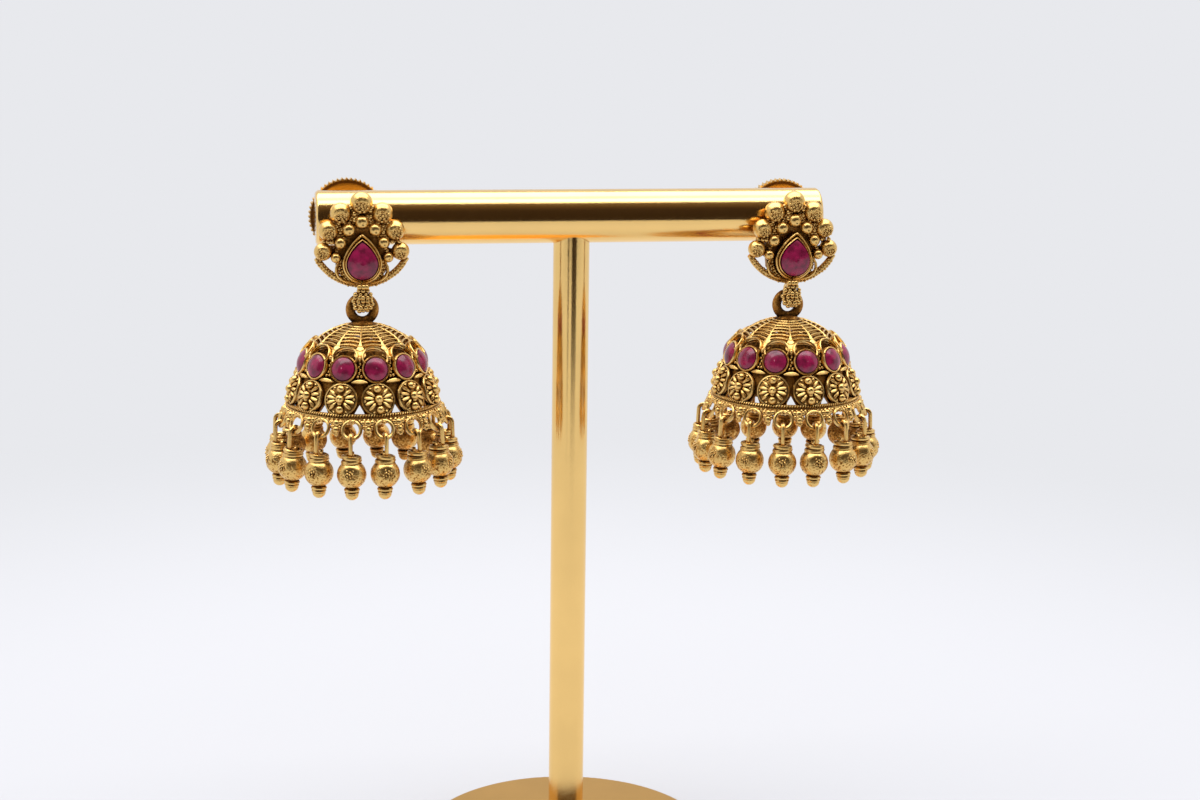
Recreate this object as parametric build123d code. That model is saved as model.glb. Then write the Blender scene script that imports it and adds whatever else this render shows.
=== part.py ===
from build123d import *
import os
from math import asin, cos, degrees, pi, radians, sin, sqrt, tan

# A pair of jhumka earrings on a small T-bar stand.
# Units are millimetres. +Z is up, the earrings face -Y, and the bar runs along X.
# The origin is the centre of the underside of the round base.
# Angles round a bell are counted from its front (-Y) towards +X.

# ---- Stand -------------------------------------------------------------------------------
base_radius = 19.0
base_thickness = 3.0
base_edge_round = 0.5
upright_radius = 2.25
upright_seat_depth = 2.0        # how far the foot of the upright goes into the base
bar_radius = 3.3
bar_length = 62.7
bar_end_round = 0.45
bar_axis_height = 84.3
bar_seat_depth = 1.8            # how far the top of the upright goes into the bar
seat_gap = 0.05                 # play between two pieces that are pushed together

# ---- Where each earring hangs ------------------------------------------------------------
post_radius = 0.5
post_end_y = 6.7
hang_y = -4.6                   # plane in which the top rings hang
# The two earrings sit a little differently on the bar. Columns: side name, x of the bell's axis,
# height of the earring's zero from the bar's axis, x and height of its post from the bar's axis,
# how far its stud sits to the side of its bail, turn of the pear setting in the stud,
# first round stone's angle, first drop's angle.
earring_table = [
    ("left", -26.12, 0.0, -27.25, -0.35, 0.0, 0.0, -81.7, -79.4),
    ("right", 26.62, -0.25, 27.75, -0.75, 0.28, -4.5, -85.7, -83.8),
]

# ---- Stud, drawn in a plane: x to the right and y up from the earring's zero ----------------
plate_back_y = -3.45
plate_thickness = 0.7
bead_lift = 1.6                 # centre of the large beads in front of the plate's back
small_bead_lift = 2.1           # the small beads stand in front of the large ones
bead_stem_share = 0.6           # stem behind a small bead, as a share of its radius
# Columns: sideways distance, height, radius. Beads off the centre line are made on both sides.
large_bead_table = [
    (0.0, 2.35, 1.28),
    (2.45, 1.13, 1.17),
    (3.9, -0.93, 1.1),
    (4.58, -3.42, 1.0),
]
small_bead_table = [
    (0.0, 0.12, 0.8),
    (1.55, -0.8, 0.78),
    (2.55, -2.35, 0.7),
    (3.1, -4.1, 0.58),
]
pear_tip = -1.4                 # height of the tip of the pear bezel
pear_circle_height = -4.85      # height of the centre of its round end
pear_circle_radius = 2.2
pear_side_start = 22.0          # degrees up the circle at which the convex sides begin
pear_rim_wall = 0.38            # wall of the bezel round the stone
pear_step_height = 2.5          # outer rim, above the plate's back
pear_rim_height = 2.8           # inner rim
pear_floor_height = 1.6
pear_stone_rise = 0.75          # top of the stone above the inner rim
pear_dome_radius = 3.9
wing_half_span = 5.2
wing_tip_height = -4.45
wing_bottom = -7.4
wing_wire = 0.38
wing_lift = 1.2
leaf_half_span = 3.1
leaf_tip_height = -5.3
leaf_bottom = -7.15
leaf_wire = 0.32
piercing_x = 3.62               # small see-through gap between the beads
piercing_height = -2.85
piercing_radius = 0.42

# ---- Bail of the stud and top ring of the bell ---------------------------------------------
ring_height = -10.45            # centre of the top ring, from the earring's zero
ring_radius = 1.42
ring_wire = 0.57
bail_height = -9.01             # centre of the bail, level with the wire at the ring's top
bail_radius = 1.08
bail_wire = 0.35
knob_y = -6.0                   # centres of the granules in front of the ring
# Columns: sideways distance, height, radius.
knob_table = [
    (0.0, -7.95, 0.66),
    (0.55, -8.6, 0.62),
    (0.66, -9.4, 0.64),
    (0.0, -9.1, 0.66),
    (0.44, -10.1, 0.58),
    (0.0, -10.2, 0.58),
]

# ---- Screw nut -----------------------------------------------------------------------------
nut_radius = 4.78
nut_tooth_depth = 0.28
nut_teeth = 52
nut_front_y = 4.0
nut_thickness = 1.2
nut_front_hub_radius = 1.5
nut_back_hub_radius = 1.9
nut_back_hub_end_y = 6.3

# ---- Bell: heights are counted from the earring's zero --------------------------------------
dome_radius = 8.6               # the dome is part of a ball
dome_top = -12.1
shoulder_radius = 6.6           # where the dome meets the straight skirt
rim_radius = 8.8
rim_height = -21.45
shell_wall = 0.55
top_collar_radius = 1.45
top_collar_height = 0.5

stone_count = 12
round_bezel_radius = 1.6
round_stone_radius = 1.33
round_stone_height = -16.5      # middle of the stones on the skirt
bezel_rise = 0.4
bezel_depth = 0.75              # below the skirt's outer face
bezel_floor = 0.3
girdle_rise = 0.05              # straight side of a round stone above its bezel
stone_rise = 0.42               # top of the cabochon above its bezel

rib_wire = 0.13
rib_first_polar = 13.0          # polar angles are counted on the dome's ball, from its top
rib_last_polar = 50.0
# Columns: polar angle at the top of the slot, and at its foot.
dome_slot_table = [
    (14.5, 21.0),
    (24.0, 30.5),
    (33.5, 39.5),
]
dome_slot_margin = 0.27         # metal left on each side of a slot, up to the rib's middle
arch_polar = 51.0
arch_radius = 1.4
arch_wire = 0.18

tab_height = -17.95
tab_length = 1.7
tab_radius = 0.32

rosette_height = -19.7
rosette_radius = 1.9
rosette_plate = 0.35
rosette_petals = 6
petal_radius = 0.45
petal_circle = 1.22
eye_radius = 0.52
window_top = -20.3
window_half_angle = 4.6

rope_radius = 8.98
rope_height = -21.7
rope_wire = 0.45

drop_count = 16
loop_centre_radius = 9.75
loop_height = -23.1
loop_radius = 1.06
loop_wire = 0.22
loop_flare = 24.0               # degrees that the loops lean out from vertical
# Granules between the loops. Columns: distance below the rope ring, distance out from it, radius.
granule_table = [
    (0.5, 0.4, 0.5),
    (1.2, 0.72, 0.42),
]

# ---- Drops: heights are counted down from the loop wire that carries each drop --------------
link_wire = 0.24
link_half_width = 0.58
link_play = 0.06
collar_top = 2.0
collar_ring_radius = 0.95
collar_ring_wire = 0.26
collar_pitch = 0.4
ball_centre = 4.2
ball_radius = 1.7
finial_ring_radius = 0.92
finial_ring_wire = 0.28
finial_tip_radius = 0.55
finial_top = 5.78
finial_length = 1.5
drop_lean_in = 2.2              # degrees that each drop leans in towards the bell's axis
# Sideways lean of each drop in degrees, round the bell.
drop_lean_table = [1.5, -2.5, 0.5, 0.5, -1.5, 2.0, 2.5, 0.0, 1.0, -0.5, 2.0, -1.5, 0.5, 1.5, -1.0, 0.0]

# ---- Worked out from the sizes above --------------------------------------------------------
dome_centre = dome_top - dome_radius
shoulder_height = dome_centre + sqrt(dome_radius**2 - shoulder_radius**2)
skirt_slope = (rim_radius - shoulder_radius) / (shoulder_height - rim_height)
skirt_lean = degrees(asin(skirt_slope / sqrt(1 + skirt_slope**2)))
stone_step = 360 / stone_count
drop_step = 360 / drop_count


def skirt_radius_at(height):
    """Outer radius of the straight skirt of the bell at a height."""
    return shoulder_radius + (shoulder_height - height) * skirt_slope


def facing(angle, radius, height, lean):
    """Place whose Z points out from the bell, leaning up by lean degrees, and whose Y runs round it."""
    return Rot(0, 0, angle - 90) * Pos(radius, 0, height) * Rot(0, 90 - lean, 0)


def on_skirt(angle, height):
    """Place on the outer face of the skirt."""
    return facing(angle, skirt_radius_at(height), height, skirt_lean)


def on_dome(angle, polar):
    """Place on the outer face of the dome."""
    radius = dome_radius * sin(radians(polar))
    height = dome_centre + dome_radius * cos(radians(polar))
    return facing(angle, radius, height, 90 - polar)


def teardrop(circle_radius, circle_height, tip_height):
    """Pear outline: the lower part of a circle, with a slightly convex side from each end to the tip."""
    start = radians(pear_side_start)
    start_x = circle_radius * cos(start)
    start_y = circle_height + circle_radius * sin(start)
    tip = (0, tip_height)
    side = TangentArc((start_x, start_y), tip, tangent=(-sin(start), cos(start)))
    other_side = TangentArc((-start_x, start_y), tip, tangent=(sin(start), cos(start)))
    bottom = (0, circle_height - circle_radius)
    round_end = ThreePointArc((start_x, start_y), bottom, (-start_x, start_y))
    return make_face(side + round_end + other_side)


def bead(radius):
    """Ball whose poles lie to the front and back."""
    return Rot(90, 0, 0) * Sphere(radius)


def both_sides(table):
    """Rows of a bead table with every off-centre row repeated on the other side."""
    mirrored = [(-x, y, size) for x, y, size in table if x > 0]
    return table + mirrored


# ---- Stand pieces --------------------------------------------------------------------------
def make_base_disc():
    disc = extrude(Circle(base_radius), base_thickness)
    disc = fillet(disc.edges().filter_by(GeomType.CIRCLE), base_edge_round)
    seat = Cylinder(upright_radius + seat_gap, 2 * (upright_seat_depth + seat_gap))
    return disc - Pos(0, 0, base_thickness) * seat


def make_upright():
    bottom = base_thickness - upright_seat_depth
    top = bar_axis_height - bar_radius + bar_seat_depth
    return Pos(0, 0, bottom) * extrude(Circle(upright_radius), top - bottom)


def make_cross_bar():
    bar = Rot(0, 90, 0) * Cylinder(bar_radius, bar_length)
    bar = fillet(bar.edges().filter_by(GeomType.CIRCLE), bar_end_round)
    seat_depth = bar_seat_depth + seat_gap
    seat = Pos(0, 0, -bar_radius) * Cylinder(upright_radius + seat_gap, 2 * seat_depth)
    post_hole = Rot(90, 0, 0) * Cylinder(post_radius + seat_gap, 3 * bar_radius)
    holes = [Pos(post_x, 0, post_rise) * post_hole for _, _, _, post_x, post_rise, *_ in earring_table]
    return Pos(0, 0, bar_axis_height) * (bar - [seat] - holes)


# ---- Stud pieces ---------------------------------------------------------------------------
def stud_plane():
    """Drawing plane on the back of the stud: x to the right, y up, extruded to the front."""
    return Plane(origin=(0, plate_back_y, 0), x_dir=(1, 0, 0), z_dir=(0, -1, 0))


def make_back_plate():
    """Flat web behind the beads, from bead to bead and down to the pear bezel."""
    right_side = [(x, y) for x, y, _ in large_bead_table]
    left_side = [(-x, y) for x, y in reversed(right_side[1:])]
    low_right = [(0.9 * pear_circle_radius, pear_circle_height)]
    low_left = [(-x, y) for x, y in low_right]
    outline = make_face(Polyline(*right_side, *low_right, *low_left, *left_side, close=True))
    gaps = [Pos(side * piercing_x, piercing_height) * Circle(piercing_radius) for side in (-1, 1)]
    return extrude(outline - gaps, plate_thickness)


def turned_pear(turn):
    """Turn about the middle of the pear setting, in the stud's drawing plane."""
    return Pos(0, pear_circle_height) * Rot(0, 0, turn) * Pos(0, -pear_circle_height)


def make_pear_bezel():
    """Bezel with a low outer rim and a higher inner one, open at the front."""
    outer = extrude(teardrop(pear_circle_radius, pear_circle_height, pear_tip), pear_step_height)
    inner_radius = pear_circle_radius - pear_rim_wall / 2
    inner = extrude(teardrop(inner_radius, pear_circle_height, pear_tip - 0.3), pear_rim_height)
    pocket_face = pear_pocket(0)
    pocket = Pos(0, 0, pear_floor_height) * extrude(pocket_face, pear_rim_height)
    return outer + inner - pocket


def pear_pocket(inset):
    """Outline of the opening inside the pear bezel, made smaller by inset."""
    radius = pear_circle_radius - pear_rim_wall
    tip = pear_tip - 0.72
    return teardrop(radius - inset, pear_circle_height, tip - 1.5 * inset)


def arc_wire(half_span, tip_height, bottom, wire):
    """Round wire bent to an arc that hangs between two tips, with rounded ends."""
    start = (-half_span, tip_height, 0)
    end = (half_span, tip_height, 0)
    path = ThreePointArc(start, (0, bottom, 0), end)
    section = Plane(origin=path @ 0, z_dir=path % 0) * Circle(wire)
    ends = [Pos(*start) * Sphere(wire), Pos(*end) * Sphere(wire)]
    return sweep(section, path) + ends


def make_stud(shift, pear_turn, post_x, post_height):
    """The stud about the earring's zero, with its front moved sideways by shift, and its post."""
    beads = []
    for bead_x, bead_y, size in both_sides(large_bead_table):
        beads.append(Pos(bead_x, bead_y, bead_lift) * bead(size))
    for bead_x, bead_y, size in both_sides(small_bead_table):
        stem = extrude(Circle(bead_stem_share * size), small_bead_lift)
        beads += [Pos(bead_x, bead_y, small_bead_lift) * bead(size), Pos(bead_x, bead_y) * stem]
    wings = Pos(0, 0, wing_lift) * arc_wire(wing_half_span, wing_tip_height, wing_bottom, wing_wire)
    leaves = Pos(0, 0, wing_lift) * arc_wire(leaf_half_span, leaf_tip_height, leaf_bottom, leaf_wire)
    front = make_back_plate() + [turned_pear(pear_turn) * make_pear_bezel(), wings, leaves] + beads
    stud = Pos(shift, 0, 0) * stud_plane().location * front
    bail = Pos(0, hang_y, bail_height) * Rot(0, 90, 0) * Torus(bail_radius, bail_wire)
    post_start_y = plate_back_y - plate_thickness / 2
    post = Rot(-90, 0, 0) * extrude(Circle(post_radius), post_end_y - post_start_y)
    return stud + [bail, Pos(post_x, post_start_y, post_height) * post] + make_knob()


def make_knob():
    """Cluster of granules on the front of the bail."""
    return [Pos(x, knob_y, height) * Sphere(size) for x, height, size in both_sides(knob_table)]


def make_pear_stone(shift, pear_turn):
    """Pear cabochon: a straight girdle under a domed top."""
    height = pear_rim_height + pear_stone_rise - pear_floor_height - seat_gap
    girdle = extrude(pear_pocket(seat_gap), height)
    dome = Pos(0, pear_circle_height + 0.3, height - pear_dome_radius) * Sphere(pear_dome_radius)
    stone = girdle & dome
    lifted = Pos(0, 0, pear_floor_height + seat_gap) * stone
    return Pos(shift, 0, 0) * stud_plane().location * turned_pear(pear_turn) * lifted


def make_screw_nut():
    """Round nut with a serrated edge, a short hub towards the bar and a longer one behind."""
    corners = []
    for tooth in range(2 * nut_teeth):
        reach = nut_radius if tooth % 2 == 0 else nut_radius - nut_tooth_depth
        turn = pi * tooth / nut_teeth
        corners.append((reach * cos(turn), reach * sin(turn)))
    disc = Pos(0, 0, nut_front_y) * extrude(make_face(Polyline(*corners, close=True)), nut_thickness)
    hub_start = bar_radius + seat_gap
    front_hub = Pos(0, 0, hub_start) * extrude(Circle(nut_front_hub_radius), nut_front_y + 0.2 - hub_start)
    back_hub_length = nut_back_hub_end_y - nut_front_y
    back_hub = Pos(0, 0, nut_front_y) * extrude(Circle(nut_back_hub_radius), back_hub_length)
    hole = Cylinder(post_radius + seat_gap, 4 * nut_back_hub_end_y)
    return Rot(-90, 0, 0) * (disc + [front_hub, back_hub] - hole)


# ---- Bell pieces ---------------------------------------------------------------------------
def make_shell():
    """Hollow dome and skirt of even wall, as one turned body."""
    half_polar = asin(shoulder_radius / dome_radius) / 2
    outer_mid = (dome_radius * sin(half_polar), dome_centre + dome_radius * cos(half_polar))
    inner_dome_radius = dome_radius - shell_wall
    inner_shoulder = shoulder_radius - 0.75 * shell_wall
    inner_shoulder_height = dome_centre + sqrt(inner_dome_radius**2 - inner_shoulder**2)
    inner_half_polar = asin(inner_shoulder / inner_dome_radius) / 2
    inner_mid_radius = inner_dome_radius * sin(inner_half_polar)
    inner_mid = (inner_mid_radius, dome_centre + inner_dome_radius * cos(inner_half_polar))
    top = (0, dome_top)
    inner_top = (0, dome_top - shell_wall)
    shoulder = (shoulder_radius, shoulder_height)
    rim = (rim_radius, rim_height)
    inner_rim = (rim_radius - shell_wall, rim_height)
    outline = ThreePointArc(top, outer_mid, shoulder)
    outline += Line(shoulder, rim)
    outline += Line(rim, inner_rim)
    outline += Line(inner_rim, (inner_shoulder, inner_shoulder_height))
    outline += ThreePointArc((inner_shoulder, inner_shoulder_height), inner_mid, inner_top)
    outline += Line(inner_top, top)
    return revolve(Plane.XZ * make_face(outline), Axis.Z)


def dome_slot(top_polar, foot_polar):
    """Cutter for one opening between two ribs, wider at its foot, facing the front."""
    middle = (top_polar + foot_polar) / 2
    half_height = dome_radius * radians(foot_polar - top_polar) / 2
    half_step = radians(stone_step / 2)
    top_half = dome_radius * sin(radians(top_polar)) * half_step - dome_slot_margin
    foot_half = dome_radius * sin(radians(foot_polar)) * half_step - dome_slot_margin
    right_side = [(half_height, foot_half), (-half_height, top_half)]
    left_side = [(-half_height, -top_half), (half_height, -foot_half)]
    blank = extrude(make_face(Polyline(*right_side, *left_side, close=True)), 4 * shell_wall)
    return on_dome(0, middle) * Pos(0, 0, -3 * shell_wall) * blank


def make_dome_cutters():
    """All the openings of one twelfth of the bell, facing the front."""
    cutters = [dome_slot(top, foot) for top, foot in dome_slot_table]
    crescent_radius = arch_radius - arch_wire / 2
    cutters.append(on_dome(0, arch_polar) * Cylinder(crescent_radius, 4 * shell_wall))
    window_middle = (window_top + rim_height) / 2
    window_width = 2 * skirt_radius_at(window_middle) * tan(radians(window_half_angle))
    window = Box(window_top - rim_height, window_width, 4 * shell_wall)
    cutters.append(on_skirt(stone_step / 2, window_middle) * window)
    return cutters


def make_rib():
    """Raised rib down the dome between two panels, facing the front."""
    hoop = Pos(0, 0, dome_centre) * Rot(0, 90, 0) * Torus(dome_radius, rib_wire)
    reach = 2 * dome_radius
    wedge_points = [
        (0, 0),
        (reach * sin(radians(rib_first_polar)), reach * cos(radians(rib_first_polar))),
        (reach * sin(radians(rib_last_polar)), reach * cos(radians(rib_last_polar))),
    ]
    wedge = extrude(Plane.YZ * make_face(Polyline(*wedge_points, close=True)), rib_wire * 2, both=True)
    return hoop & Pos(0, 0, dome_centre) * Rot(0, 0, 180) * wedge


def make_rosette():
    """Flower on the skirt, facing the front: a round plate, an eye and a ring of petals."""
    parts = [extrude(Circle(rosette_radius), rosette_plate + shell_wall / 2)]
    lift = rosette_plate + shell_wall / 2
    parts.append(Pos(0, 0, lift) * Sphere(eye_radius))
    for petal in range(rosette_petals):
        turn = Rot(0, 0, petal * 360 / rosette_petals)
        parts.append(turn * Pos(petal_circle, 0, lift) * Sphere(petal_radius))
    return [on_skirt(0, rosette_height) * Pos(0, 0, -shell_wall / 2) * piece for piece in parts]


def make_round_bezel():
    """Bezel of a round stone before its pocket is cut, facing the front."""
    blank = extrude(Circle(round_bezel_radius), bezel_rise + bezel_depth)
    return on_skirt(0, round_stone_height) * Pos(0, 0, -bezel_depth) * blank


def make_stone_pocket():
    """Cutter for the seat of a round stone, facing the front."""
    depth = bezel_rise + bezel_depth - bezel_floor
    seat = Cylinder(round_stone_radius + seat_gap, 2 * depth)
    return on_skirt(0, round_stone_height) * Pos(0, 0, bezel_rise) * seat


def make_tab():
    """Small boat-shaped tab between two bezels, facing the front."""
    half = Pos(0, 0, tab_length / 4) * Cone(tab_radius, 0.3 * tab_radius, tab_length / 2)
    boat = half + Rot(180, 0, 0) * half
    return on_skirt(0, tab_height) * Pos(0, 0, tab_radius / 2) * Rot(90, 0, 0) * boat


def make_bell_loop():
    """Loop that stands out under the rope ring, facing the front."""
    return facing(0, loop_centre_radius, loop_height, loop_flare) * Torus(loop_radius, loop_wire)


def make_granules():
    """Granules under the rope ring, facing the front."""
    pair = []
    for below, out, size in granule_table:
        pair.append(Pos(0, -(rope_radius + out), rope_height - below) * bead(size))
    return pair


def make_rope_ring():
    """Rope ring round the rim, with a section of eight even flats."""
    section = Pos(rope_radius, rope_height) * RegularPolygon(rope_wire, 8, rotation=22.5)
    return revolve(Plane.XZ * section, Axis.Z)


def repeat_round(pieces, count, first_angle):
    """Copies of pieces that face the front, turned to count even steps from first_angle."""
    step = 360 / count
    return [Rot(0, 0, first_angle + step * index) * piece for index in range(count) for piece in pieces]


def make_bell(stone_angle, drop_angle):
    """The bell about its own axis: ring, pierced dome, bezels, rosettes, rope ring and loops."""
    between_stones = stone_angle + stone_step / 2
    between_drops = drop_angle + drop_step / 2
    shell = make_shell() - repeat_round(make_dome_cutters(), stone_count, stone_angle)
    arch = on_dome(0, arch_polar) * Torus(arch_radius, arch_wire)
    relief = repeat_round([make_round_bezel(), arch] + make_rosette(), stone_count, stone_angle)
    relief += repeat_round([make_rib(), make_tab()], stone_count, between_stones)
    relief += repeat_round([make_bell_loop()], drop_count, drop_angle)
    relief += repeat_round(make_granules(), drop_count, between_drops)
    relief.append(make_rope_ring())
    collar_middle = dome_top + (top_collar_height - shell_wall) / 2
    collar = Cone(top_collar_radius, 0.7 * top_collar_radius, top_collar_height + shell_wall)
    relief.append(Pos(0, 0, collar_middle) * collar)
    relief.append(Pos(0, 0, ring_height) * Rot(90, 0, 0) * Torus(ring_radius, ring_wire))
    bell = shell + relief
    return bell - repeat_round([make_stone_pocket()], stone_count, stone_angle)


def make_round_stones(stone_angle):
    """The ring of round cabochons, about the bell's axis."""
    floor = bezel_floor - bezel_depth + seat_gap
    crown = bezel_rise + girdle_rise + stone_rise
    cap_radius = (round_stone_radius**2 + stone_rise**2) / (2 * stone_rise)
    girdle = Pos(0, 0, floor) * extrude(Circle(round_stone_radius), crown - floor)
    stone = girdle & Pos(0, 0, crown - cap_radius) * Sphere(cap_radius)
    return repeat_round([on_skirt(0, round_stone_height) * stone], stone_count, stone_angle)


def make_drop():
    """One drop, hanging down from the origin at the middle of the loop wire that carries it."""
    link_top = loop_wire + link_play + link_wire
    link_foot = -collar_top - 0.2
    straight = link_top - link_foot - 2 * link_half_width
    middle = (link_top + link_foot) / 2
    path = Plane.XZ * SlotOverall(straight + 2 * link_half_width, 2 * link_half_width, rotation=90)
    path_wire = path.wires()[0]
    section = Plane(origin=path_wire @ 0, z_dir=path_wire % 0) * Circle(link_wire)
    link = Pos(0, 0, middle) * sweep(section, path_wire)
    collar_rings = []
    for index in range(2):
        height = -collar_top - collar_ring_wire - index * collar_pitch
        collar_rings.append(Pos(0, 0, height) * Torus(collar_ring_radius, collar_ring_wire))
    core_height = collar_top + 0.15
    core = Pos(0, 0, -ball_centre) * extrude(Circle(collar_ring_radius), ball_centre - core_height)
    ball = Pos(0, 0, -ball_centre) * Sphere(ball_radius)
    return link + [core, ball] + collar_rings + make_finial()


def make_finial():
    """Pieces of the bead under the ball: a neck, a ring and a body that narrows to a round tip."""
    neck_radius = 0.75 * finial_ring_radius
    tip_centre = -finial_top - finial_length + finial_tip_radius
    ring_centre = -finial_top - finial_ring_wire
    neck = Pos(0, 0, ring_centre) * extrude(Circle(neck_radius), ball_centre + ring_centre)
    body_shape = Cone(finial_tip_radius, finial_ring_radius, ring_centre - tip_centre)
    body = Pos(0, 0, (ring_centre + tip_centre) / 2) * body_shape
    ring = Pos(0, 0, ring_centre) * Torus(finial_ring_radius - finial_ring_wire, finial_ring_wire)
    tip = Pos(0, 0, tip_centre) * Sphere(finial_tip_radius)
    return [neck, body, ring, tip]


def place_drop(drop, angle, sideways_lean):
    """Hang a drop on the loop at an angle round the bell."""
    carrier_radius = loop_centre_radius + loop_radius * sin(radians(loop_flare))
    carrier_height = loop_height - loop_radius * cos(radians(loop_flare))
    hang = Rot(0, 0, angle - 90) * Pos(carrier_radius, 0, carrier_height)
    return hang * Rot(sideways_lean, drop_lean_in, 0) * drop


# ---- Write every node ----------------------------------------------------------------------
os.makedirs("parts", exist_ok=True)


def save(name, shape):
    export_step(shape, os.path.join("parts", name + ".step"))


save("base_disc", make_base_disc())
save("upright", make_upright())
save("cross_bar", make_cross_bar())

drop_shape = make_drop()
for side, hang_x, rise, post_x, post_rise, shift, pear_turn, stone_angle, drop_angle in earring_table:
    zero = Pos(hang_x, 0, bar_axis_height + rise)
    hang_point = Pos(hang_x, hang_y, bar_axis_height + rise)
    save(side + "_stud", zero * make_stud(shift, pear_turn, post_x - hang_x, post_rise - rise))
    save(side + "_pear_stone", zero * make_pear_stone(shift, pear_turn))
    save(side + "_screw_nut", Pos(post_x, 0, bar_axis_height + post_rise) * make_screw_nut())
    save(side + "_bell", hang_point * make_bell(stone_angle, drop_angle))
    stones = Compound(children=make_round_stones(stone_angle))
    save(side + "_round_stones", hang_point * stones)
    for index, lean in enumerate(drop_lean_table):
        drop = place_drop(drop_shape, drop_angle + drop_step * index, lean)
        save(side + "_drop_" + str(index + 1).zfill(2), hang_point * drop)
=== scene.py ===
from math import acos, asin, atan2, cos, degrees, pi, radians, sin, sqrt
from random import Random

import bmesh
import bpy
from mathutils import Matrix, Vector, noise


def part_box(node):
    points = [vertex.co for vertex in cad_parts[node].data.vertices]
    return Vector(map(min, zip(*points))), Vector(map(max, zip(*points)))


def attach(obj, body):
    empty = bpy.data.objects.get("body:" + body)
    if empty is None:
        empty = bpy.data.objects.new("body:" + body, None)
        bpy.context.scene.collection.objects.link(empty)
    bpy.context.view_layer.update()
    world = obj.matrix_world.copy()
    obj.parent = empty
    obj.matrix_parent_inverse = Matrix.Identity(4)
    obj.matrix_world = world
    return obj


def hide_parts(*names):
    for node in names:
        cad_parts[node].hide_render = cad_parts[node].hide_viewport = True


bl_info = {
    "name": "Jhumka pair on a T-bar stand",
    "version": (1, 0, 0),
    "blender": (4, 5, 0),
    "location": "View3D > Sidebar > Jhumka",
    "description": "Dresses a pair of jhumka earrings and their display stand",
    "category": "Add Mesh",
}

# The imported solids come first, so that the places below can be read from them.
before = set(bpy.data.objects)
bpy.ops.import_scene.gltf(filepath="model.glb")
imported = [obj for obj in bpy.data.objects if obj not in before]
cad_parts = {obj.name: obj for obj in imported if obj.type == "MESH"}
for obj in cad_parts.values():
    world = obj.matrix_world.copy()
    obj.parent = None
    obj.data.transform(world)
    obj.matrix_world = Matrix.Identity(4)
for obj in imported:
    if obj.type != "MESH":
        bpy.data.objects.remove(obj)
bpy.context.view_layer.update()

MM = 0.001
X_AXIS = Vector((1, 0, 0))
Y_AXIS = Vector((0, 1, 0))
Z_AXIS = Vector((0, 0, 1))
SIDES = ("left", "right")
STONES = 12
DROPS = 16
PANEL = 360 / STONES            # degrees of the dome between two ribs


def middle_of(node):
    """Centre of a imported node's box, in metres."""
    low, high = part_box(node)
    return (low + high) / 2


# Everything on an earring is drawn in millimetres about the point of its own axis that lies level with the
# bar's axis, or a little below it on the right. Angles round a bell are counted from its front, which faces
# -Y, towards +X.
BAR_AXIS_HEIGHT = middle_of("cross_bar").z
RISE = {"left": 0.0, "right": -0.25 * MM}
HANG_POINT = {side: Vector((middle_of(side + "_bell").x, middle_of(side + "_bell").y,
                            BAR_AXIS_HEIGHT + RISE[side])) for side in SIDES}
STONE_ANGLE = {"left": -81.7, "right": -85.7}
DROP_ANGLE = {"left": -79.4, "right": -83.8}
PEAR_TURN = {"left": 0.0, "right": -4.5}
STUD_SHIFT = {"left": 0.0, "right": 0.28}
PLATE_BACK = -3.45              # back of a stud's plate, from the bar's axis
RING_PLANE = -4.6               # plane in which the rings hang, from the bar's axis
STUD_BACK = PLATE_BACK - RING_PLANE


# ---- Sizes and colours a user would change -------------------------------------------------------
def size(name, description, millimetres):
    """A length that the user can change."""
    return bpy.props.FloatProperty(name=name, description=description, default=millimetres * MM,
                                   min=0.0, precision=5, unit="LENGTH")


def colour(name, description, code):
    """A colour that the user can change, from its sRGB hex code."""
    return bpy.props.FloatVectorProperty(name=name, description=description, default=linear(code),
                                         subtype="COLOR", size=4, min=0.0, max=1.0)


def linear(code):
    """An sRGB hex colour as linear RGBA."""
    parts = [int(code[i:i + 2], 16) / 255 for i in (1, 3, 5)]
    return tuple(p / 12.92 if p <= 0.04045 else ((p + 0.055) / 1.055) ** 2.4 for p in parts) + (1.0,)


class JhumkaFinishes(bpy.types.PropertyGroup):
    """Colours of the metal and the stones."""
    plate: colour("Gold plate", "Polished plate of the bar and the upright", "#FCD285")
    satin: colour("Satin plate", "Satin plate of the base", "#C5974C")
    # The bright end of the antique gold also carries its painted light, and the patina end its painted shade.
    bright: colour("Bright gold", "Antique gold where it is rubbed bright", "#EDC477")
    middle: colour("Middle gold", "Antique gold away from edges", "#BC8239")
    patina: colour("Patina", "Oxidised metal left in the recesses", "#472C11")
    nut: colour("Nut face", "Smooth plated face of the screw nuts", "#AE7C33")
    ruby: colour("Ruby", "Red of the cabochons", "#940742")


class JhumkaBell(bpy.types.PropertyGroup):
    """Sizes of the bell."""
    bar_wire: size("Bar wire", "Half width of the fine bars across each dome panel", 0.115)
    bar_bow: size("Bar bow", "How far the lowest bars arch up in the middle of a panel", 0.45)
    bezel_lip: size("Bezel lip", "Height of a round bezel above the skirt", 0.42)
    rope_bead: size("Rope bead", "Radius of the beads of the rope line", 0.18)


class JhumkaDrop(bpy.types.PropertyGroup):
    """Sizes of the drops."""
    ball: size("Ball", "Radius of the ball of a drop", 1.72)
    dish: size("Dish", "Depth of the pitted dish in front of each ball", 0.2)


class JhumkaStage(bpy.types.PropertyGroup):
    """Light and floor."""
    floor: colour("Floor", "Matt paper under the stand", "#C3C3C6")
    backdrop: colour("Backdrop", "Pale background", "#E8E9ED")
    lamp: bpy.props.FloatProperty(name="Lamp", description="Power of the overhead soft boxes, in watts",
                                  default=4.2, min=0.0)


# ---- Modelling helpers ---------------------------------------------------------------------------
AXIS_RADIUS = 0.001             # stands for a radius of 0 while a body is turned
MERGE_DISTANCE = 0.003


def shift(x, y, z):
    """Matrix that moves along the three axes."""
    return Matrix.Translation((x, y, z))


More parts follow.
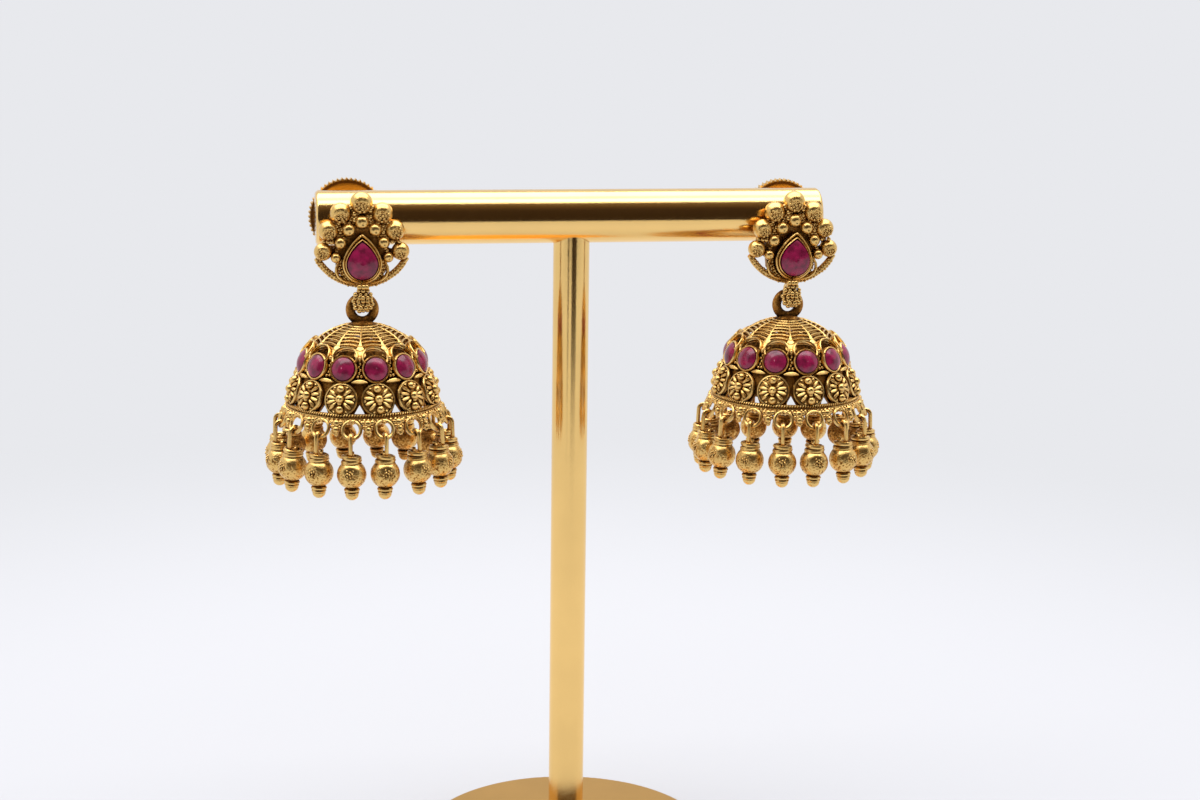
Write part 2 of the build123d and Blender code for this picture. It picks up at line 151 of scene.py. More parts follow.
def spin(angle, axis="Z"):
    """Matrix that turns by degrees about an axis."""
    return Matrix.Rotation(radians(angle), 4, axis)


def leave_edit():
    """Back to object mode with nothing selected."""
    if bpy.context.mode != "OBJECT":
        bpy.ops.object.mode_set(mode="OBJECT")
    bpy.ops.object.select_all(action="DESELECT")


def transformed(piece, matrix):
    """Move a piece's mesh by a matrix, and leave its object at the origin."""
    piece.data.transform(piece.matrix_basis)
    piece.matrix_basis = Matrix.Identity(4)
    piece.data.transform(matrix)
    return piece


def copied(piece, matrices):
    """Copies of a piece, one for each matrix, each with its own mesh."""
    copies = []
    for matrix in matrices:
        twin = piece.copy()
        twin.data = piece.data.copy()
        twin.data.transform(matrix)
        bpy.context.collection.objects.link(twin)
        copies.append(twin)
    return copies


def removed(*pieces):
    """Take helper pieces out of the scene."""
    for piece in pieces:
        bpy.data.objects.remove(piece)


def repeated(piece, matrices):
    """Copies of a piece in place of the piece itself."""
    copies = copied(piece, matrices)
    removed(piece)
    return copies


def chosen(piece):
    """Select a piece alone and make it the active one."""
    leave_edit()
    piece.select_set(True)
    bpy.context.view_layer.objects.active = piece
    return piece


def begin_edit():
    """Edit the active piece, with all of it selected."""
    bpy.ops.object.mode_set(mode="EDIT")
    bpy.ops.mesh.select_all(action="SELECT")
    return bpy.context.object


def finish_edit(merge=False):
    """Face the edited piece outwards, with its doubles merged first where asked, and leave edit mode."""
    bpy.ops.mesh.select_all(action="SELECT")
    if merge:
        bpy.ops.mesh.remove_doubles(threshold=MERGE_DISTANCE)
    bpy.ops.mesh.normals_make_consistent(inside=False)
    leave_edit()


def bridge_ends(piece):
    """Join the two open ends of the edited piece."""
    bpy.ops.mesh.select_all(action="DESELECT")
    shape = bmesh.from_edit_mesh(piece.data)
    for edge in shape.edges:
        edge.select_set(edge.is_boundary)
    bmesh.update_edit_mesh(piece.data)
    bpy.ops.mesh.bridge_edge_loops()


def joined(pieces, name):
    """One object made of several."""
    chosen(pieces[0])
    for piece in pieces:
        piece.select_set(True)
    bpy.ops.object.join()
    whole = bpy.context.object
    whole.name = name
    leave_edit()
    return whole


def painted(piece, material):
    """Give a piece its material, and no other."""
    piece.data.materials.clear()
    piece.data.materials.append(material)
    return piece


def smoothed(piece, angle):
    """Smooth shading, with edges sharper than the angle kept."""
    chosen(piece)
    bpy.ops.object.shade_smooth_by_angle(angle=radians(angle))
    leave_edit()
    return piece


def moved(piece, rule):
    """Move every vertex of a piece to where rule(point) says."""
    for vertex in piece.data.vertices:
        vertex.co = rule(vertex.co.copy())
    return piece


def marked(piece, name, rule):
    """Store rule(vertex) on every vertex of a piece, for its material to read."""
    values = [rule(vertex) for vertex in piece.data.vertices]
    piece.data.attributes.new(name, "FLOAT", "POINT").data.foreach_set("value", values)
    return piece


def share_between(low, high, value):
    """0 at low and 1 at high, and held there beyond them."""
    return min(max((value - low) / (high - low), 0.0), 1.0)


def ball(radius, segments=24, rings=14):
    """Ball with its poles up and down."""
    leave_edit()
    bpy.ops.mesh.primitive_uv_sphere_add(radius=radius, segments=segments, ring_count=rings)
    return bpy.context.object


def granule(radius, place=(0, 0, 0), subdivisions=2):
    """Small solder ball of few faces."""
    leave_edit()
    bpy.ops.mesh.primitive_ico_sphere_add(radius=radius, subdivisions=subdivisions)
    return transformed(bpy.context.object, shift(*place))


def hoop(radius, wire, around=32, across=8, height=0.0):
    """Level ring of round wire about the Z axis."""
    leave_edit()
    bpy.ops.mesh.primitive_torus_add(major_radius=radius, minor_radius=wire,
                                     major_segments=around, minor_segments=across)
    return transformed(bpy.context.object, shift(0, 0, height))


def turned(profile, sides=32):
    """Turned body from rows of (radius, height): a circle, extruded and scaled row by row."""
    rows = [(max(radius, AXIS_RADIUS), height) for radius, height in profile]
    leave_edit()
    bpy.ops.mesh.primitive_circle_add(vertices=sides, radius=rows[0][0], location=(0, 0, rows[0][1]),
                                      fill_type="NGON")
    piece = begin_edit()
    for (radius, height), (new_radius, new_height) in zip(rows, rows[1:]):
        bpy.ops.mesh.extrude_region_move(TRANSFORM_OT_translate={"value": (0, 0, new_height - height)})
        scale = new_radius / radius
        bpy.ops.transform.resize(value=(scale, scale, 1), center_override=(0, 0, new_height))
    finish_edit(merge=True)
    return transformed(piece, Matrix.Identity(4))


def turned_ring(profile, sides=36):
    """Closed ring turned from rows of (radius, height) that end where they began."""
    piece = chosen(turned(profile, sides))
    begin_edit()
    bpy.ops.mesh.select_mode(type="FACE")
    shape = bmesh.from_edit_mesh(piece.data)
    for face in shape.faces:
        face.select_set(len(face.verts) == sides)
    bmesh.update_edit_mesh(piece.data)
    bpy.ops.mesh.delete(type="ONLY_FACE")
    bpy.ops.mesh.select_mode(type="VERT")
    finish_edit(merge=True)
    return piece


def slab(outline, start, depth):
    """Plate of an outline's shape, left in edit mode with its front face selected."""
    leave_edit()
    bpy.ops.mesh.primitive_circle_add(vertices=len(outline), radius=1, fill_type="NGON")
    for vertex, (x, y) in zip(bpy.context.object.data.vertices, outline):
        vertex.co = Vector((x, y, start))
    piece = begin_edit()
    bpy.ops.mesh.extrude_region_move(TRANSFORM_OT_translate={"value": (0, 0, depth)})
    return piece


def lofted(stations, sides=8, closed=False):
    """Rod whose oval section follows stations of (centre, across, up, half_width, half_height)."""
    leave_edit()
    bpy.ops.mesh.primitive_circle_add(vertices=sides, radius=1, fill_type="NOTHING" if closed else "NGON")
    piece = begin_edit()
    for index, (centre, across, up, half_width, half_height) in enumerate(stations):
        if index:
            bpy.ops.mesh.extrude_region_move()
        shape = bmesh.from_edit_mesh(piece.data)
        for vertex in (v for v in shape.verts if v.select):
            point = vertex.co
            if index:
                # The section before this one, brought back to a circle of radius 1.
                last_centre, last_across, last_up, last_width, last_height = stations[index - 1]
                offset = point - last_centre
                point = Vector((offset.dot(last_across) / last_width, offset.dot(last_up) / last_height, 0))
            vertex.co = centre + across * (point.x * half_width) + up * (point.y * half_height)
        bmesh.update_edit_mesh(piece.data)
    if closed:
        bridge_ends(piece)
    finish_edit()
    return piece


def bent_wire(points, radii, up, sides=8, closed=False):
    """Round wire through points, with a radius at each."""
    stations = []
    last = len(points) - 1
    for index, point in enumerate(points):
        ahead = points[(index + 1) % len(points)] if closed else points[min(index + 1, last)]
        behind = points[index - 1] if closed else points[max(index - 1, 0)]
        along = (ahead - behind).normalized()
        across = along.cross(up).normalized()
        stations.append((point, across, across.cross(along).normalized(), radii[index], radii[index]))
    return lofted(stations, sides, closed)


# ---- Places on the bell --------------------------------------------------------------------------
BAIL_HEIGHT = -9.01             # heights are in millimetres from the bar's axis
RING_HEIGHT = -10.45
DOME_RADIUS = 8.6
DOME_CENTRE = -20.7
SHOULDER_RADIUS = 6.6
SHOULDER_HEIGHT = DOME_CENTRE + sqrt(DOME_RADIUS ** 2 - SHOULDER_RADIUS ** 2)
RIM_RADIUS = 8.8
RIM_HEIGHT = -21.45
SKIRT_SLOPE = (RIM_RADIUS - SHOULDER_RADIUS) / (SHOULDER_HEIGHT - RIM_HEIGHT)
SKIRT_LEAN = degrees(atan2(SKIRT_SLOPE, 1))
BAR_ROWS = 8
FIRST_BAR = 12.5                # degrees from the top of the dome
BAR_STEP = 4.5
STONE_HEIGHT = -16.5
TAB_HEIGHT = -17.95
ROSETTE_HEIGHT = -19.9
LOOP_CENTRE_RADIUS = 9.75
LOOP_HEIGHT = -23.1
LOOP_RADIUS = 1.06
LOOP_WIRE = 0.22
LOOP_FLARE = 24.0


def facing(angle, radius, height, lean=0.0):
    """Place whose Z points out from the bell and leans up, whose Y runs up and whose X runs round."""
    return spin(angle) @ shift(0, -radius, height) @ spin(90 - lean, "X")


def on_dome(angle, polar, lift=0.0):
    """Place on the dome at an angle from its top."""
    reach = DOME_RADIUS + lift
    return facing(angle, reach * sin(radians(polar)), DOME_CENTRE + reach * cos(radians(polar)), 90 - polar)


def skirt_radius(height):
    """Radius of the sloping skirt at a height."""
    return SHOULDER_RADIUS + (SHOULDER_HEIGHT - height) * SKIRT_SLOPE


def on_skirt(angle, height, lift=0.0):
    """Place on the skirt at a height."""
    return facing(angle, skirt_radius(height), height, SKIRT_LEAN) @ shift(0, 0, lift)


def all_round(count, first_angle):
    """Turns about the bell's axis in even steps."""
    return [spin(first_angle + index * 360 / count) for index in range(count)]


# ---- Materials -----------------------------------------------------------------------------------
def node(tree, kind, settings=None, links=None, stops=()):
    """Add a node, with settings by property or socket name and links by input socket.

    A link comes from a socket, or from a node's first output. A colour ramp has stops of (position, colour).
    """
    made = tree.nodes.new(kind)
    for key, value in (settings or {}).items():
        if isinstance(key, int) or key in made.inputs:
            made.inputs[key].default_value = value
        else:
            setattr(made, key, value)
    for key, source in (links or {}).items():
        tree.links.new(source.outputs[0] if hasattr(source, "outputs") else source, made.inputs[key])
    for index, (position, value) in enumerate(stops):
        band = made.color_ramp.elements
        element = band[index] if index < len(band) else band.new(position)
        element.position = position
        element.color = value
    return made


def new_material(name):
    """Material with an empty node tree."""
    material = bpy.data.materials.new(name)
    material.use_nodes = True
    material.node_tree.nodes.clear()
    return material, material.node_tree


def grey(level):
    """A grey for a ramp that drives a plain number."""
    return (level, level, level, 1.0)


def toned(colour_value, factor):
    """A colour made darker or lighter."""
    return [part * factor for part in colour_value[:3]] + [1.0]


def make_plate(name, base, roughness):
    """Gold-plated tube: polished, with the faint grain of drawn tube under the plate."""
    material, tree = new_material(name)
    place = node(tree, "ShaderNodeTexCoord").outputs["Object"]
    # Grain of 0.15 mm, and clouding of 6 mm in the polish.
    grain = node(tree, "ShaderNodeTexNoise", {"Scale": 1 / (0.15 * MM), "Detail": 4.0}, {"Vector": place})
    cloud = node(tree, "ShaderNodeTexNoise", {"Scale": 1 / (6 * MM), "Detail": 2.0}, {"Vector": place})
    tint = node(tree, "ShaderNodeValToRGB", links={"Fac": cloud},
                stops=[(0.3, toned(base, 0.94)), (0.7, base)])
    rough = node(tree, "ShaderNodeValToRGB", links={"Fac": grain},
                 stops=[(0.3, grey(roughness * 0.8)), (0.7, grey(roughness * 1.3))])
    bump = node(tree, "ShaderNodeBump", {"Strength": 0.4, "Distance": 0.02 * MM}, {"Height": grain})
    shader = node(tree, "ShaderNodeBsdfPrincipled", {"Metallic": 1.0},
                  {"Base Color": tint, "Roughness": rough, "Normal": bump})
    node(tree, "ShaderNodeOutputMaterial", links={"Surface": shader})
    return material


def make_antique(name, finishes, reach, roughness, speckle, dark):
    """Cast brass, antique gold plated: patina and painted shade in the recesses, painted light on the faces
    turned outwards, and painted shade on those turned away.
    """
    material, tree = new_material(name)
    place = node(tree, "ShaderNodeTexCoord").outputs["Object"]
    hollow = node(tree, "ShaderNodeAmbientOcclusion", {"samples": 8, "Distance": reach * MM})
    # Painted light on faces turned outwards and painted shade on faces turned away, from the mark that
    # settle() stores.
    rubbed = node(tree, "ShaderNodeAttribute", {"attribute_name": "rubbed"}).outputs["Fac"]
    pitted = node(tree, "ShaderNodeAttribute", {"attribute_name": "pitted"}).outputs["Fac"]
    # Clouds of 0.7 mm in the patina, and speckles of 0.25 mm where the pits of the casting hold it.
    cloud = node(tree, "ShaderNodeTexNoise", {"Scale": 1 / (0.7 * MM), "Detail": 2.0}, {"Vector": place})
    speck = node(tree, "ShaderNodeTexNoise", {"Scale": 1 / (0.25 * MM), "Detail": 2.0}, {"Vector": place})
    about_zero = node(tree, "ShaderNodeMath", {"operation": "SUBTRACT", 1: 0.5}, {0: speck})
    pits = node(tree, "ShaderNodeMath", {"operation": "MULTIPLY"}, {0: about_zero, 1: pitted})
    # How bright the metal is at a place: the open sky over it, which darkens the recesses as patina and
    # painted shade, and then a share of each of the others, among them the painted light of faces turned
    # outwards.
    height = hollow.outputs["AO"]
    for share, source in ((0.4, cloud), (speckle, about_zero), (2.6, pits), (-0.12, pitted), (0.5, rubbed)):
        height = node(tree, "ShaderNodeMath", {"operation": "MULTIPLY_ADD", 1: share}, {0: source, 2: height})
    height = node(tree, "ShaderNodeMath", {"operation": "SUBTRACT", 1: 0.7 + dark}, {0: height})
    tint = node(tree, "ShaderNodeValToRGB", links={"Fac": height},
                stops=[(0.15, finishes.patina), (0.5, finishes.middle), (0.82, finishes.bright)])
    rough = node(tree, "ShaderNodeValToRGB", links={"Fac": height},
                 stops=[(0.15, grey(0.65)), (0.82, grey(roughness))])
    depth = node(tree, "ShaderNodeMath", {"operation": "ADD", 1: 0.2}, {0: pitted})
    bump = node(tree, "ShaderNodeBump", {"Distance": 0.09 * MM}, {"Height": speck, "Strength": depth})
    shader = node(tree, "ShaderNodeBsdfPrincipled", {"Metallic": 1.0},
                  {"Base Color": tint, "Roughness": rough, "Normal": bump})
    node(tree, "ShaderNodeOutputMaterial", links={"Surface": shader})
    return material


def make_nut_metal(name, finishes, centre):
    """Screw nut: smooth plated face, a darker band near the edge, and bright teeth."""
    material, tree = new_material(name)
    place = node(tree, "ShaderNodeTexCoord").outputs["Object"]
    offset = node(tree, "ShaderNodeVectorMath", {"operation": "SUBTRACT", 1: centre}, {0: place})
    # Distance from the nut's axis in millimetres, and as a share of a little more than its radius.
    flat = node(tree, "ShaderNodeVectorMath", {"operation": "MULTIPLY", 1: (1 / MM, 0.0, 1 / MM)},
                {0: offset})
    reach = node(tree, "ShaderNodeVectorMath", {"operation": "LENGTH"}, {0: flat}).outputs["Value"]
    share = node(tree, "ShaderNodeMath", {"operation": "DIVIDE", 1: 5.0}, {0: reach})
    # Darker in a band towards the edge, then bright at the teeth.
    edge_band = toned(finishes.patina, 2.2)
    tint = node(tree, "ShaderNodeValToRGB", links={"Fac": share},
                stops=[(0.8, finishes.nut), (0.84, edge_band), (0.89, edge_band), (0.92, finishes.bright)])
    rough = node(tree, "ShaderNodeValToRGB", links={"Fac": share},
                 stops=[(0.8, grey(0.35)), (0.84, grey(0.6)), (0.92, grey(0.35))])
    # Turning marks about 0.1 mm apart.
    marks = node(tree, "ShaderNodeTexNoise", {"noise_dimensions": "1D", "Scale": 1 / 0.1, "Detail": 1.0},
                 {"W": reach})
    bump = node(tree, "ShaderNodeBump", {"Strength": 0.5, "Distance": 0.02 * MM}, {"Height": marks})
    shader = node(tree, "ShaderNodeBsdfPrincipled", {"Metallic": 1.0},
                  {"Base Color": tint, "Roughness": rough, "Normal": bump})
    node(tree, "ShaderNodeOutputMaterial", links={"Surface": shader})
    return material


def make_ruby(name, finishes):
    """Polished red glass cabochon in a closed cup: deep colour, with a clear reflection on top."""
    material, tree = new_material(name)
    place = node(tree, "ShaderNodeTexCoord").outputs["Object"]
    # Clouds of 0.9 mm in the glass.
    cloud = node(tree, "ShaderNodeTexNoise", {"Scale": 1 / (0.9 * MM), "Detail": 3.0}, {"Vector": place})
    tint = node(tree, "ShaderNodeValToRGB", links={"Fac": cloud},
                stops=[(0.35, toned(finishes.ruby, 0.4)), (0.65, finishes.ruby)])
    shader = node(tree, "ShaderNodeBsdfPrincipled",
                  {"Roughness": 0.24, "IOR": 1.54, "Coat Weight": 0.15, "Coat Roughness": 0.08},
                  {"Base Color": tint})
    node(tree, "ShaderNodeOutputMaterial", links={"Surface": shader})
    return material


# Columns: how far a recess is shaded in mm, roughness where bright, speckle, how much darker than plain,
# which on the oxidised and shaded metal of the parts set back is painted shade as well as patina.
ANTIQUE = {
    "antique_gold": (0.45, 0.3, 0.5, 0.0),
    "rubbed_gold": (0.22, 0.3, 0.2, -0.28),
    "oxidised_and_shaded_gold": (0.9, 0.4, 0.5, 0.28),
    "olive_antique_gold": (1.6, 0.42, 0.6, 0.5),
}
MADE = {}


def finish(name):
    """A material by name, made when it is first asked for."""
    finishes = bpy.context.scene.jhumka_finishes
    if name in MADE:
        return MADE[name]
    if name == "polished_gold_plate":
        made = make_plate(name, finishes.plate, 0.13)
    elif name == "satin_gold_plate":
        made = make_plate(name, finishes.satin, 0.34)
    elif name == "ruby_glass":
        made = make_ruby(name, finishes)
    elif name in ANTIQUE:
        made = make_antique(name, finishes, *ANTIQUE[name])
    else:
        made = make_nut_metal(name, finishes, middle_of(name.replace("_nut_gold", "_screw_nut")))
    MADE[name] = made
    return made


# ---- Bell ----------------------------------------------------------------------------------------
def make_dome_bars(bell, half_width, depth, sunk):
    """Eight fine bars in each panel of the dome: whole hoops, arched up between the ribs."""
    hoops = []
    for row in range(BAR_ROWS):
        polar = radians(FIRST_BAR + row * BAR_STEP)
        hoops.append(hoop(DOME_RADIUS * sin(polar), half_width, around=STONES * 8, across=6,
                          height=DOME_CENTRE + DOME_RADIUS * cos(polar)))
    bars = joined(hoops, "dome_bars")
    centre = Vector((0, 0, DOME_CENTRE))
    last_bar = radians(FIRST_BAR + (BAR_ROWS - 1) * BAR_STEP)

    def arched(point):
        """Where a bar's point goes: the lower the bar, the more it arches."""
        from_centre = point - centre
        reach = DOME_RADIUS - sunk + (from_centre.length - DOME_RADIUS) * depth / half_width
        polar = acos(from_centre.z / from_centre.length)
        across = ((degrees(atan2(point.x, -point.y)) + PANEL / 2) % PANEL - PANEL / 2) / (PANEL / 2)
        bow = bell.bar_bow / MM * (polar / last_bar) ** 2
        polar -= bow / DOME_RADIUS * (1 - across ** 2)
        flat = Vector((point.x, point.y, 0)).normalized()
        return centre + (flat * sin(polar) + Z_AXIS * cos(polar)) * reach

    return moved(bars, arched)


def make_rib():
    """Rib between two panels: a narrow ridge that spreads to a flat web between two arches."""
    # Columns: polar angle, half width, half height.
    rows = [(9.5, 0.1, 0.2), (16, 0.11, 0.21), (25, 0.12, 0.22), (32, 0.14, 0.22), (36, 0.2, 0.2),
            (39, 0.32, 0.17), (42, 0.5, 0.15), (45, 0.68, 0.15), (48, 0.68, 0.17), (50.5, 0.42, 0.2),
            (53.5, 0.22, 0.24)]
    stations = []
    for polar, half_width, half_height in rows:
        place = on_dome(0, polar, -0.1)
        stations.append((place.translation, place.col[0].xyz, place.col[2].xyz, half_width, half_height))
    return lofted(stations, sides=10)


def make_arch():
    """Bright arch over a stone, with the dark gap of the crescent under it."""
    radius, lift, first_turn, sweep, steps = 1.47, 0.12, -25, 230, 18
    stations = []
    for step in range(steps + 1):
        turn = radians(first_turn + step * sweep / steps)
        outward = Vector((cos(turn), sin(turn), 0))
        stations.append((outward * radius + Z_AXIS * lift, outward, Z_AXIS, 0.14, 0.24))
    return transformed(lofted(stations), on_dome(0, 51))


def make_round_bezel(bell):
    """Thin smooth lip round one stone."""
    lip = bell.bezel_lip / MM
    profile = [(1.38, -0.1), (1.64, -0.1), (1.66, lip - 0.22), (1.64, lip - 0.08), (1.57, lip), (1.48, lip),
               (1.4, lip - 0.08), (1.38, -0.1)]
    return transformed(turned_ring(profile), on_skirt(0, STONE_HEIGHT))


def make_round_cup():
    """Cup under one bezel lip, which stays dark: darker metal, patina and painted shade under the lip."""
    profile = [(0, -0.62), (1.5, -0.6), (1.6, -0.4), (1.6, 0.05), (1.4, 0.05), (1.38, -0.3), (1.3, -0.47),
               (0, -0.48)]
    return transformed(turned(profile, 36), on_skirt(0, STONE_HEIGHT))


def make_gap_granules():
    """Granule at the foot of each rib, and smaller ones down the gap between two bezels."""
    # Columns: sideways, height, lift, radius.
    rows = [(0, -15.3, 0.2, 0.27), (0.07, -15.85, 0.0, 0.2), (-0.09, -16.2, -0.02, 0.18),
            (0.08, -16.55, 0.0, 0.19), (-0.06, -16.9, 0.0, 0.18), (0.2, -17.25, 0.05, 0.2),
            (-0.22, -17.3, 0.05, 0.19)]
    return [transformed(granule(radius), on_skirt(0, height, lift) @ shift(across, 0, 0))
            for across, height, lift, radius in rows]


def make_skirt_wall():
    """Plain wall behind the bezels and rosettes, notched up from its foot between every two rosettes, in
    darker metal that paints the shade behind them as well as patina.
    """
    columns = [0, 4.2, 9.6, 15, 20.4, 25.8]     # degrees across one sector, with the notch at 0
    top, middle, low, foot, notch = -15.35, -18, -20.3, -21.5, -20.45
    outer, inner = -0.25, -0.62
    rows = [(height, outer) for height in (top, middle, low, foot)]
    rows += [(height, inner) for height in (foot, low, middle, top)]
    count = STONES * len(columns)
    leave_edit()
    bpy.ops.mesh.primitive_circle_add(vertices=count, radius=1, fill_type="NOTHING")
    wall = begin_edit()
    for _ in rows[1:]:
        bpy.ops.mesh.extrude_edges_move()
    leave_edit()
    for index, vertex in enumerate(wall.data.vertices):
        ring, column = divmod(index, count)
        sector, place = divmod(column, len(columns))
        angle = radians(sector * PANEL + columns[place])
        height, lift = rows[ring]
        if height == foot and columns[place] == 0:
            height = notch
        radius = skirt_radius(height) + lift
        vertex.co = Vector((radius * sin(angle), -radius * cos(angle), height))
    chosen(wall)
    begin_edit()
    bridge_ends(wall)
    finish_edit()
    return wall


def make_leaf():
    """One slim leaf of a rosette, lying along X from the centre outwards."""
    # Columns: distance from the centre, half width, half height.
    rows = [(0.58, 0.08, 0.08), (0.78, 0.18, 0.2), (1.1, 0.23, 0.28), (1.45, 0.23, 0.28), (1.7, 0.12, 0.14)]
    return lofted([(Vector((reach, 0, 0.26)), Y_AXIS, Z_AXIS, half_width, half_height)
                   for reach, half_width, half_height in rows])


def dimpled(piece, centre, width, depth):
    """Press a round dimple into a piece towards -Z, at a point of its top."""
    def pressed(point):
        """Where a point goes: the nearer the middle of the dimple, the deeper."""
        distance = Vector((point.x - centre[0], point.y - centre[1])).length
        if distance < width and point.z > centre[2]:
            point.z -= depth * (0.5 + 0.5 * cos(pi * distance / width))
        return point

    return moved(piece, pressed)


def make_rosette():
    """Cast flower on the skirt: raised rim, centre bead, a bead above and below, and four split leaves."""
    rim_radius, reach, doming = 1.88, 1.93, 0.28
    plate = [(0, -0.3), (rim_radius, -0.3), (reach, -0.1), (rim_radius, 0.1), (1.3, 0.12), (0, 0.12)]
    eye = dimpled(ball(0.52, 16, 10), (0, 0.06, 0), 0.16, 0.14)
    parts = [turned(plate), hoop(rim_radius, 0.13, 40, 6, height=0.16), transformed(eye, shift(0, 0, 0.4)),
             granule(0.29, (0, -0.46, 0.36))]
    for side in (1, -1):
        bead = dimpled(ball(0.5, 16, 10), (0, 0, 0), 0.16, 0.24)
        parts.append(transformed(bead, shift(0, 1.24 * side, 0.28)))
    parts += repeated(make_leaf(), [spin(turn) for turn in (14, 42, 138, 166, -14, -42, -138, -166)])
    grain = granule(0.16, (1.62, 0, 0.22), 1)
    parts += repeated(grain, [spin(turn) for turn in (62, 118, -62, -118, 0, 180)])

    def domed(point):
        """Where a point of the flower goes, since the whole of it is slightly domed."""
        return point + Z_AXIS * (doming * (1 - (point.x ** 2 + point.y ** 2) / reach ** 2))

    return moved(joined(parts, "rosette"), domed)


def make_tab():
    """Boat-shaped eave between two stones, over the gap between two rosettes."""
    stations = []
    for step in range(11):
        along = -1 + step / 5
        swell = max(1 - along ** 2, 0.02) ** 0.7
        centre = Vector((0.95 * along, 0.06 * (1 - along ** 2), 0.12 + 0.1 * swell))
        stations.append((centre, Y_AXIS, Z_AXIS, 0.27 * swell, 0.4 * swell))
    boat = lofted(stations, sides=10)
    edge = [Vector((0.9 * x, 0.2 * (1 - x ** 2), 0.34 + 0.2 * (1 - x ** 2)))
            for x in (-1, -0.6, -0.2, 0.2, 0.6, 1)]
    rail = bent_wire(edge, [0.05, 0.08, 0.1, 0.1, 0.08, 0.05], Z_AXIS, sides=6)
    return transformed(joined([boat, rail], "tab"), on_skirt(0, TAB_HEIGHT))


def make_bell_loop():
    """Loop under the rope line, thicker along its foot."""
    def thickened(point):
        """Where a point of an even loop goes."""
        share = (1 - point.y / (LOOP_RADIUS + LOOP_WIRE)) / 2
        centre = Vector((point.x, point.y, 0)).normalized() * LOOP_RADIUS
        return centre + (point - centre) * (0.85 + 0.3 * share)

    loop = moved(hoop(LOOP_RADIUS, LOOP_WIRE), thickened)
    return transformed(loop, facing(0, LOOP_CENTRE_RADIUS, LOOP_HEIGHT, LOOP_FLARE))


def make_loop_granules():
    """Stack of granules between two loops, with small ones round them."""
    # Columns: sideways, height, distance from the axis, radius.
    rows = [(0, -22.45, 9.4, 0.5), (0, -23.15, 9.7, 0.46), (0.5, -22.35, 9.3, 0.36), (-0.5, -22.4, 9.3, 0.35),
            (0.4, -22.9, 9.5, 0.3), (-0.42, -22.85, 9.5, 0.32), (0.1, -23.65, 9.85, 0.28),
            (-0.22, -22.75, 9.85, 0.2), (0.25, -23.45, 9.95, 0.2), (-0.24, -23.5, 9.8, 0.22),
            (0.75, -22.3, 9.2, 0.26), (-0.75, -22.3, 9.2, 0.26)]
    return [granule(radius, (across, -out, height)) for across, height, out, radius in rows]


def make_rope_line(bell):
    """Milled line round the rim, a plain line under it, and the granulated band that carries the loops."""
    # Columns: radius, height, wire.
    rows = [(8.86, -21.66, 0.28), (9.2, -21.88, 0.1), (9.0, -22.2, 0.38)]
    parts = [hoop(radius, wire, 96, 8, height) for radius, height, wire in rows]
    slant = spin(35, "Y") @ Matrix.Diagonal((0.75, 1.0, 1.2, 1.0))
    bead = transformed(granule(bell.rope_bead / MM, subdivisions=1), shift(0, -9.16, -21.58) @ slant)
    parts += repeated(bead, all_round(180, 0))
    shake = Random(7)
    grains = []
    for row in range(2):
        for turn in all_round(110, row * 1.6):
            place = shift(shake.uniform(-0.06, 0.06), -9.33 - 0.05 * row + shake.uniform(-0.05, 0.05),
                          -22.1 - 0.26 * row)
            grains.append(turn @ place @ Matrix.Scale(shake.uniform(0.8, 1.25), 4))
    return parts + repeated(granule(0.21, subdivisions=1), grains)


def make_top():
    """Hanging ring, its solder foot and the cap at the top of the dome."""
    ring = transformed(hoop(1.42, 0.57, 40, 14), shift(0, 0, RING_HEIGHT) @ spin(90, "X"))
    foot = turned([(0, -12.6), (1.5, -12.45), (1.48, -12.25), (1.36, -12.05), (1.2, -11.9), (0.8, -11.75),
                   (0, -11.7)], 28)
    inner, outer = DOME_RADIUS - 0.4, DOME_RADIUS + 0.02
    # Columns: distance from the dome's centre, polar angle.
    rows = [(inner, 0), (inner, 10.5), (outer, 11), (outer, 10.5), (outer, 9), (outer, 6), (outer, 0)]
    cap = turned([(reach * sin(radians(polar)), DOME_CENTRE + reach * cos(radians(polar)))
                  for reach, polar in rows], 48)
    return [ring, foot, cap]


def make_bells():
    """Both bells, each in groups of one finish."""
    bell = bpy.context.scene.jhumka_bell
    wire = bell.bar_wire / MM
    # The second, wider layer lies sunk under the bars and fills the openings between them, and its recess
    # shading paints the shade seen through the dome.
    layers = [make_dome_bars(bell, wire, 0.09, 0.0), make_dome_bars(bell, 1.2 * wire, 0.16, 0.34)]
    for side in SIDES:
        stone_turns = all_round(STONES, STONE_ANGLE[side])
        rib_turns = all_round(STONES, STONE_ANGLE[side] + PANEL / 2)
        loop_turns = all_round(DROPS, DROP_ANGLE[side])
        granule_turns = all_round(DROPS, DROP_ANGLE[side] + 180 / DROPS)
        lattice = [copied(layer, stone_turns[:1])[0] for layer in layers]
        lattice += repeated(make_rib(), rib_turns)
        bezels = repeated(make_round_bezel(bell), stone_turns) + repeated(make_arch(), stone_turns)
        tabs = repeated(make_tab(), rib_turns)
        for part in make_gap_granules():
            tabs += repeated(part, rib_turns)
        shake = Random(13)
        flower_places = [turn @ on_skirt(0, ROSETTE_HEIGHT) @ spin(shake.uniform(-7, 7))
                         for turn in stone_turns]
        flowers = repeated(make_rosette(), flower_places)
        rim = make_rope_line(bell) + repeated(make_bell_loop(), loop_turns)
        for part in make_loop_granules():
            rim += repeated(part, granule_turns)
        wall = [transformed(make_skirt_wall(), rib_turns[0])] + repeated(make_round_cup(), stone_turns)
        groups = {
            "bell_dome": (lattice, "antique_gold"),
            "bell_bezels": (bezels, "rubbed_gold"),
            "bell_rosettes": (flowers + tabs, "antique_gold"),
            "bell_rim": (rim, "antique_gold"),
            # The wall and the cups, set back under the bezels, are darker metal: patina and painted shade.
            "bell_wall": (wall, "oxidised_and_shaded_gold"),
            "bell_top": (make_top(), "olive_antique_gold"),
        }
        for name, (parts, metal) in groups.items():
            settle(joined(parts, side + "_" + name), side, metal, side + "_jhumka", side + "_bell", 40.0)
    removed(*layers)


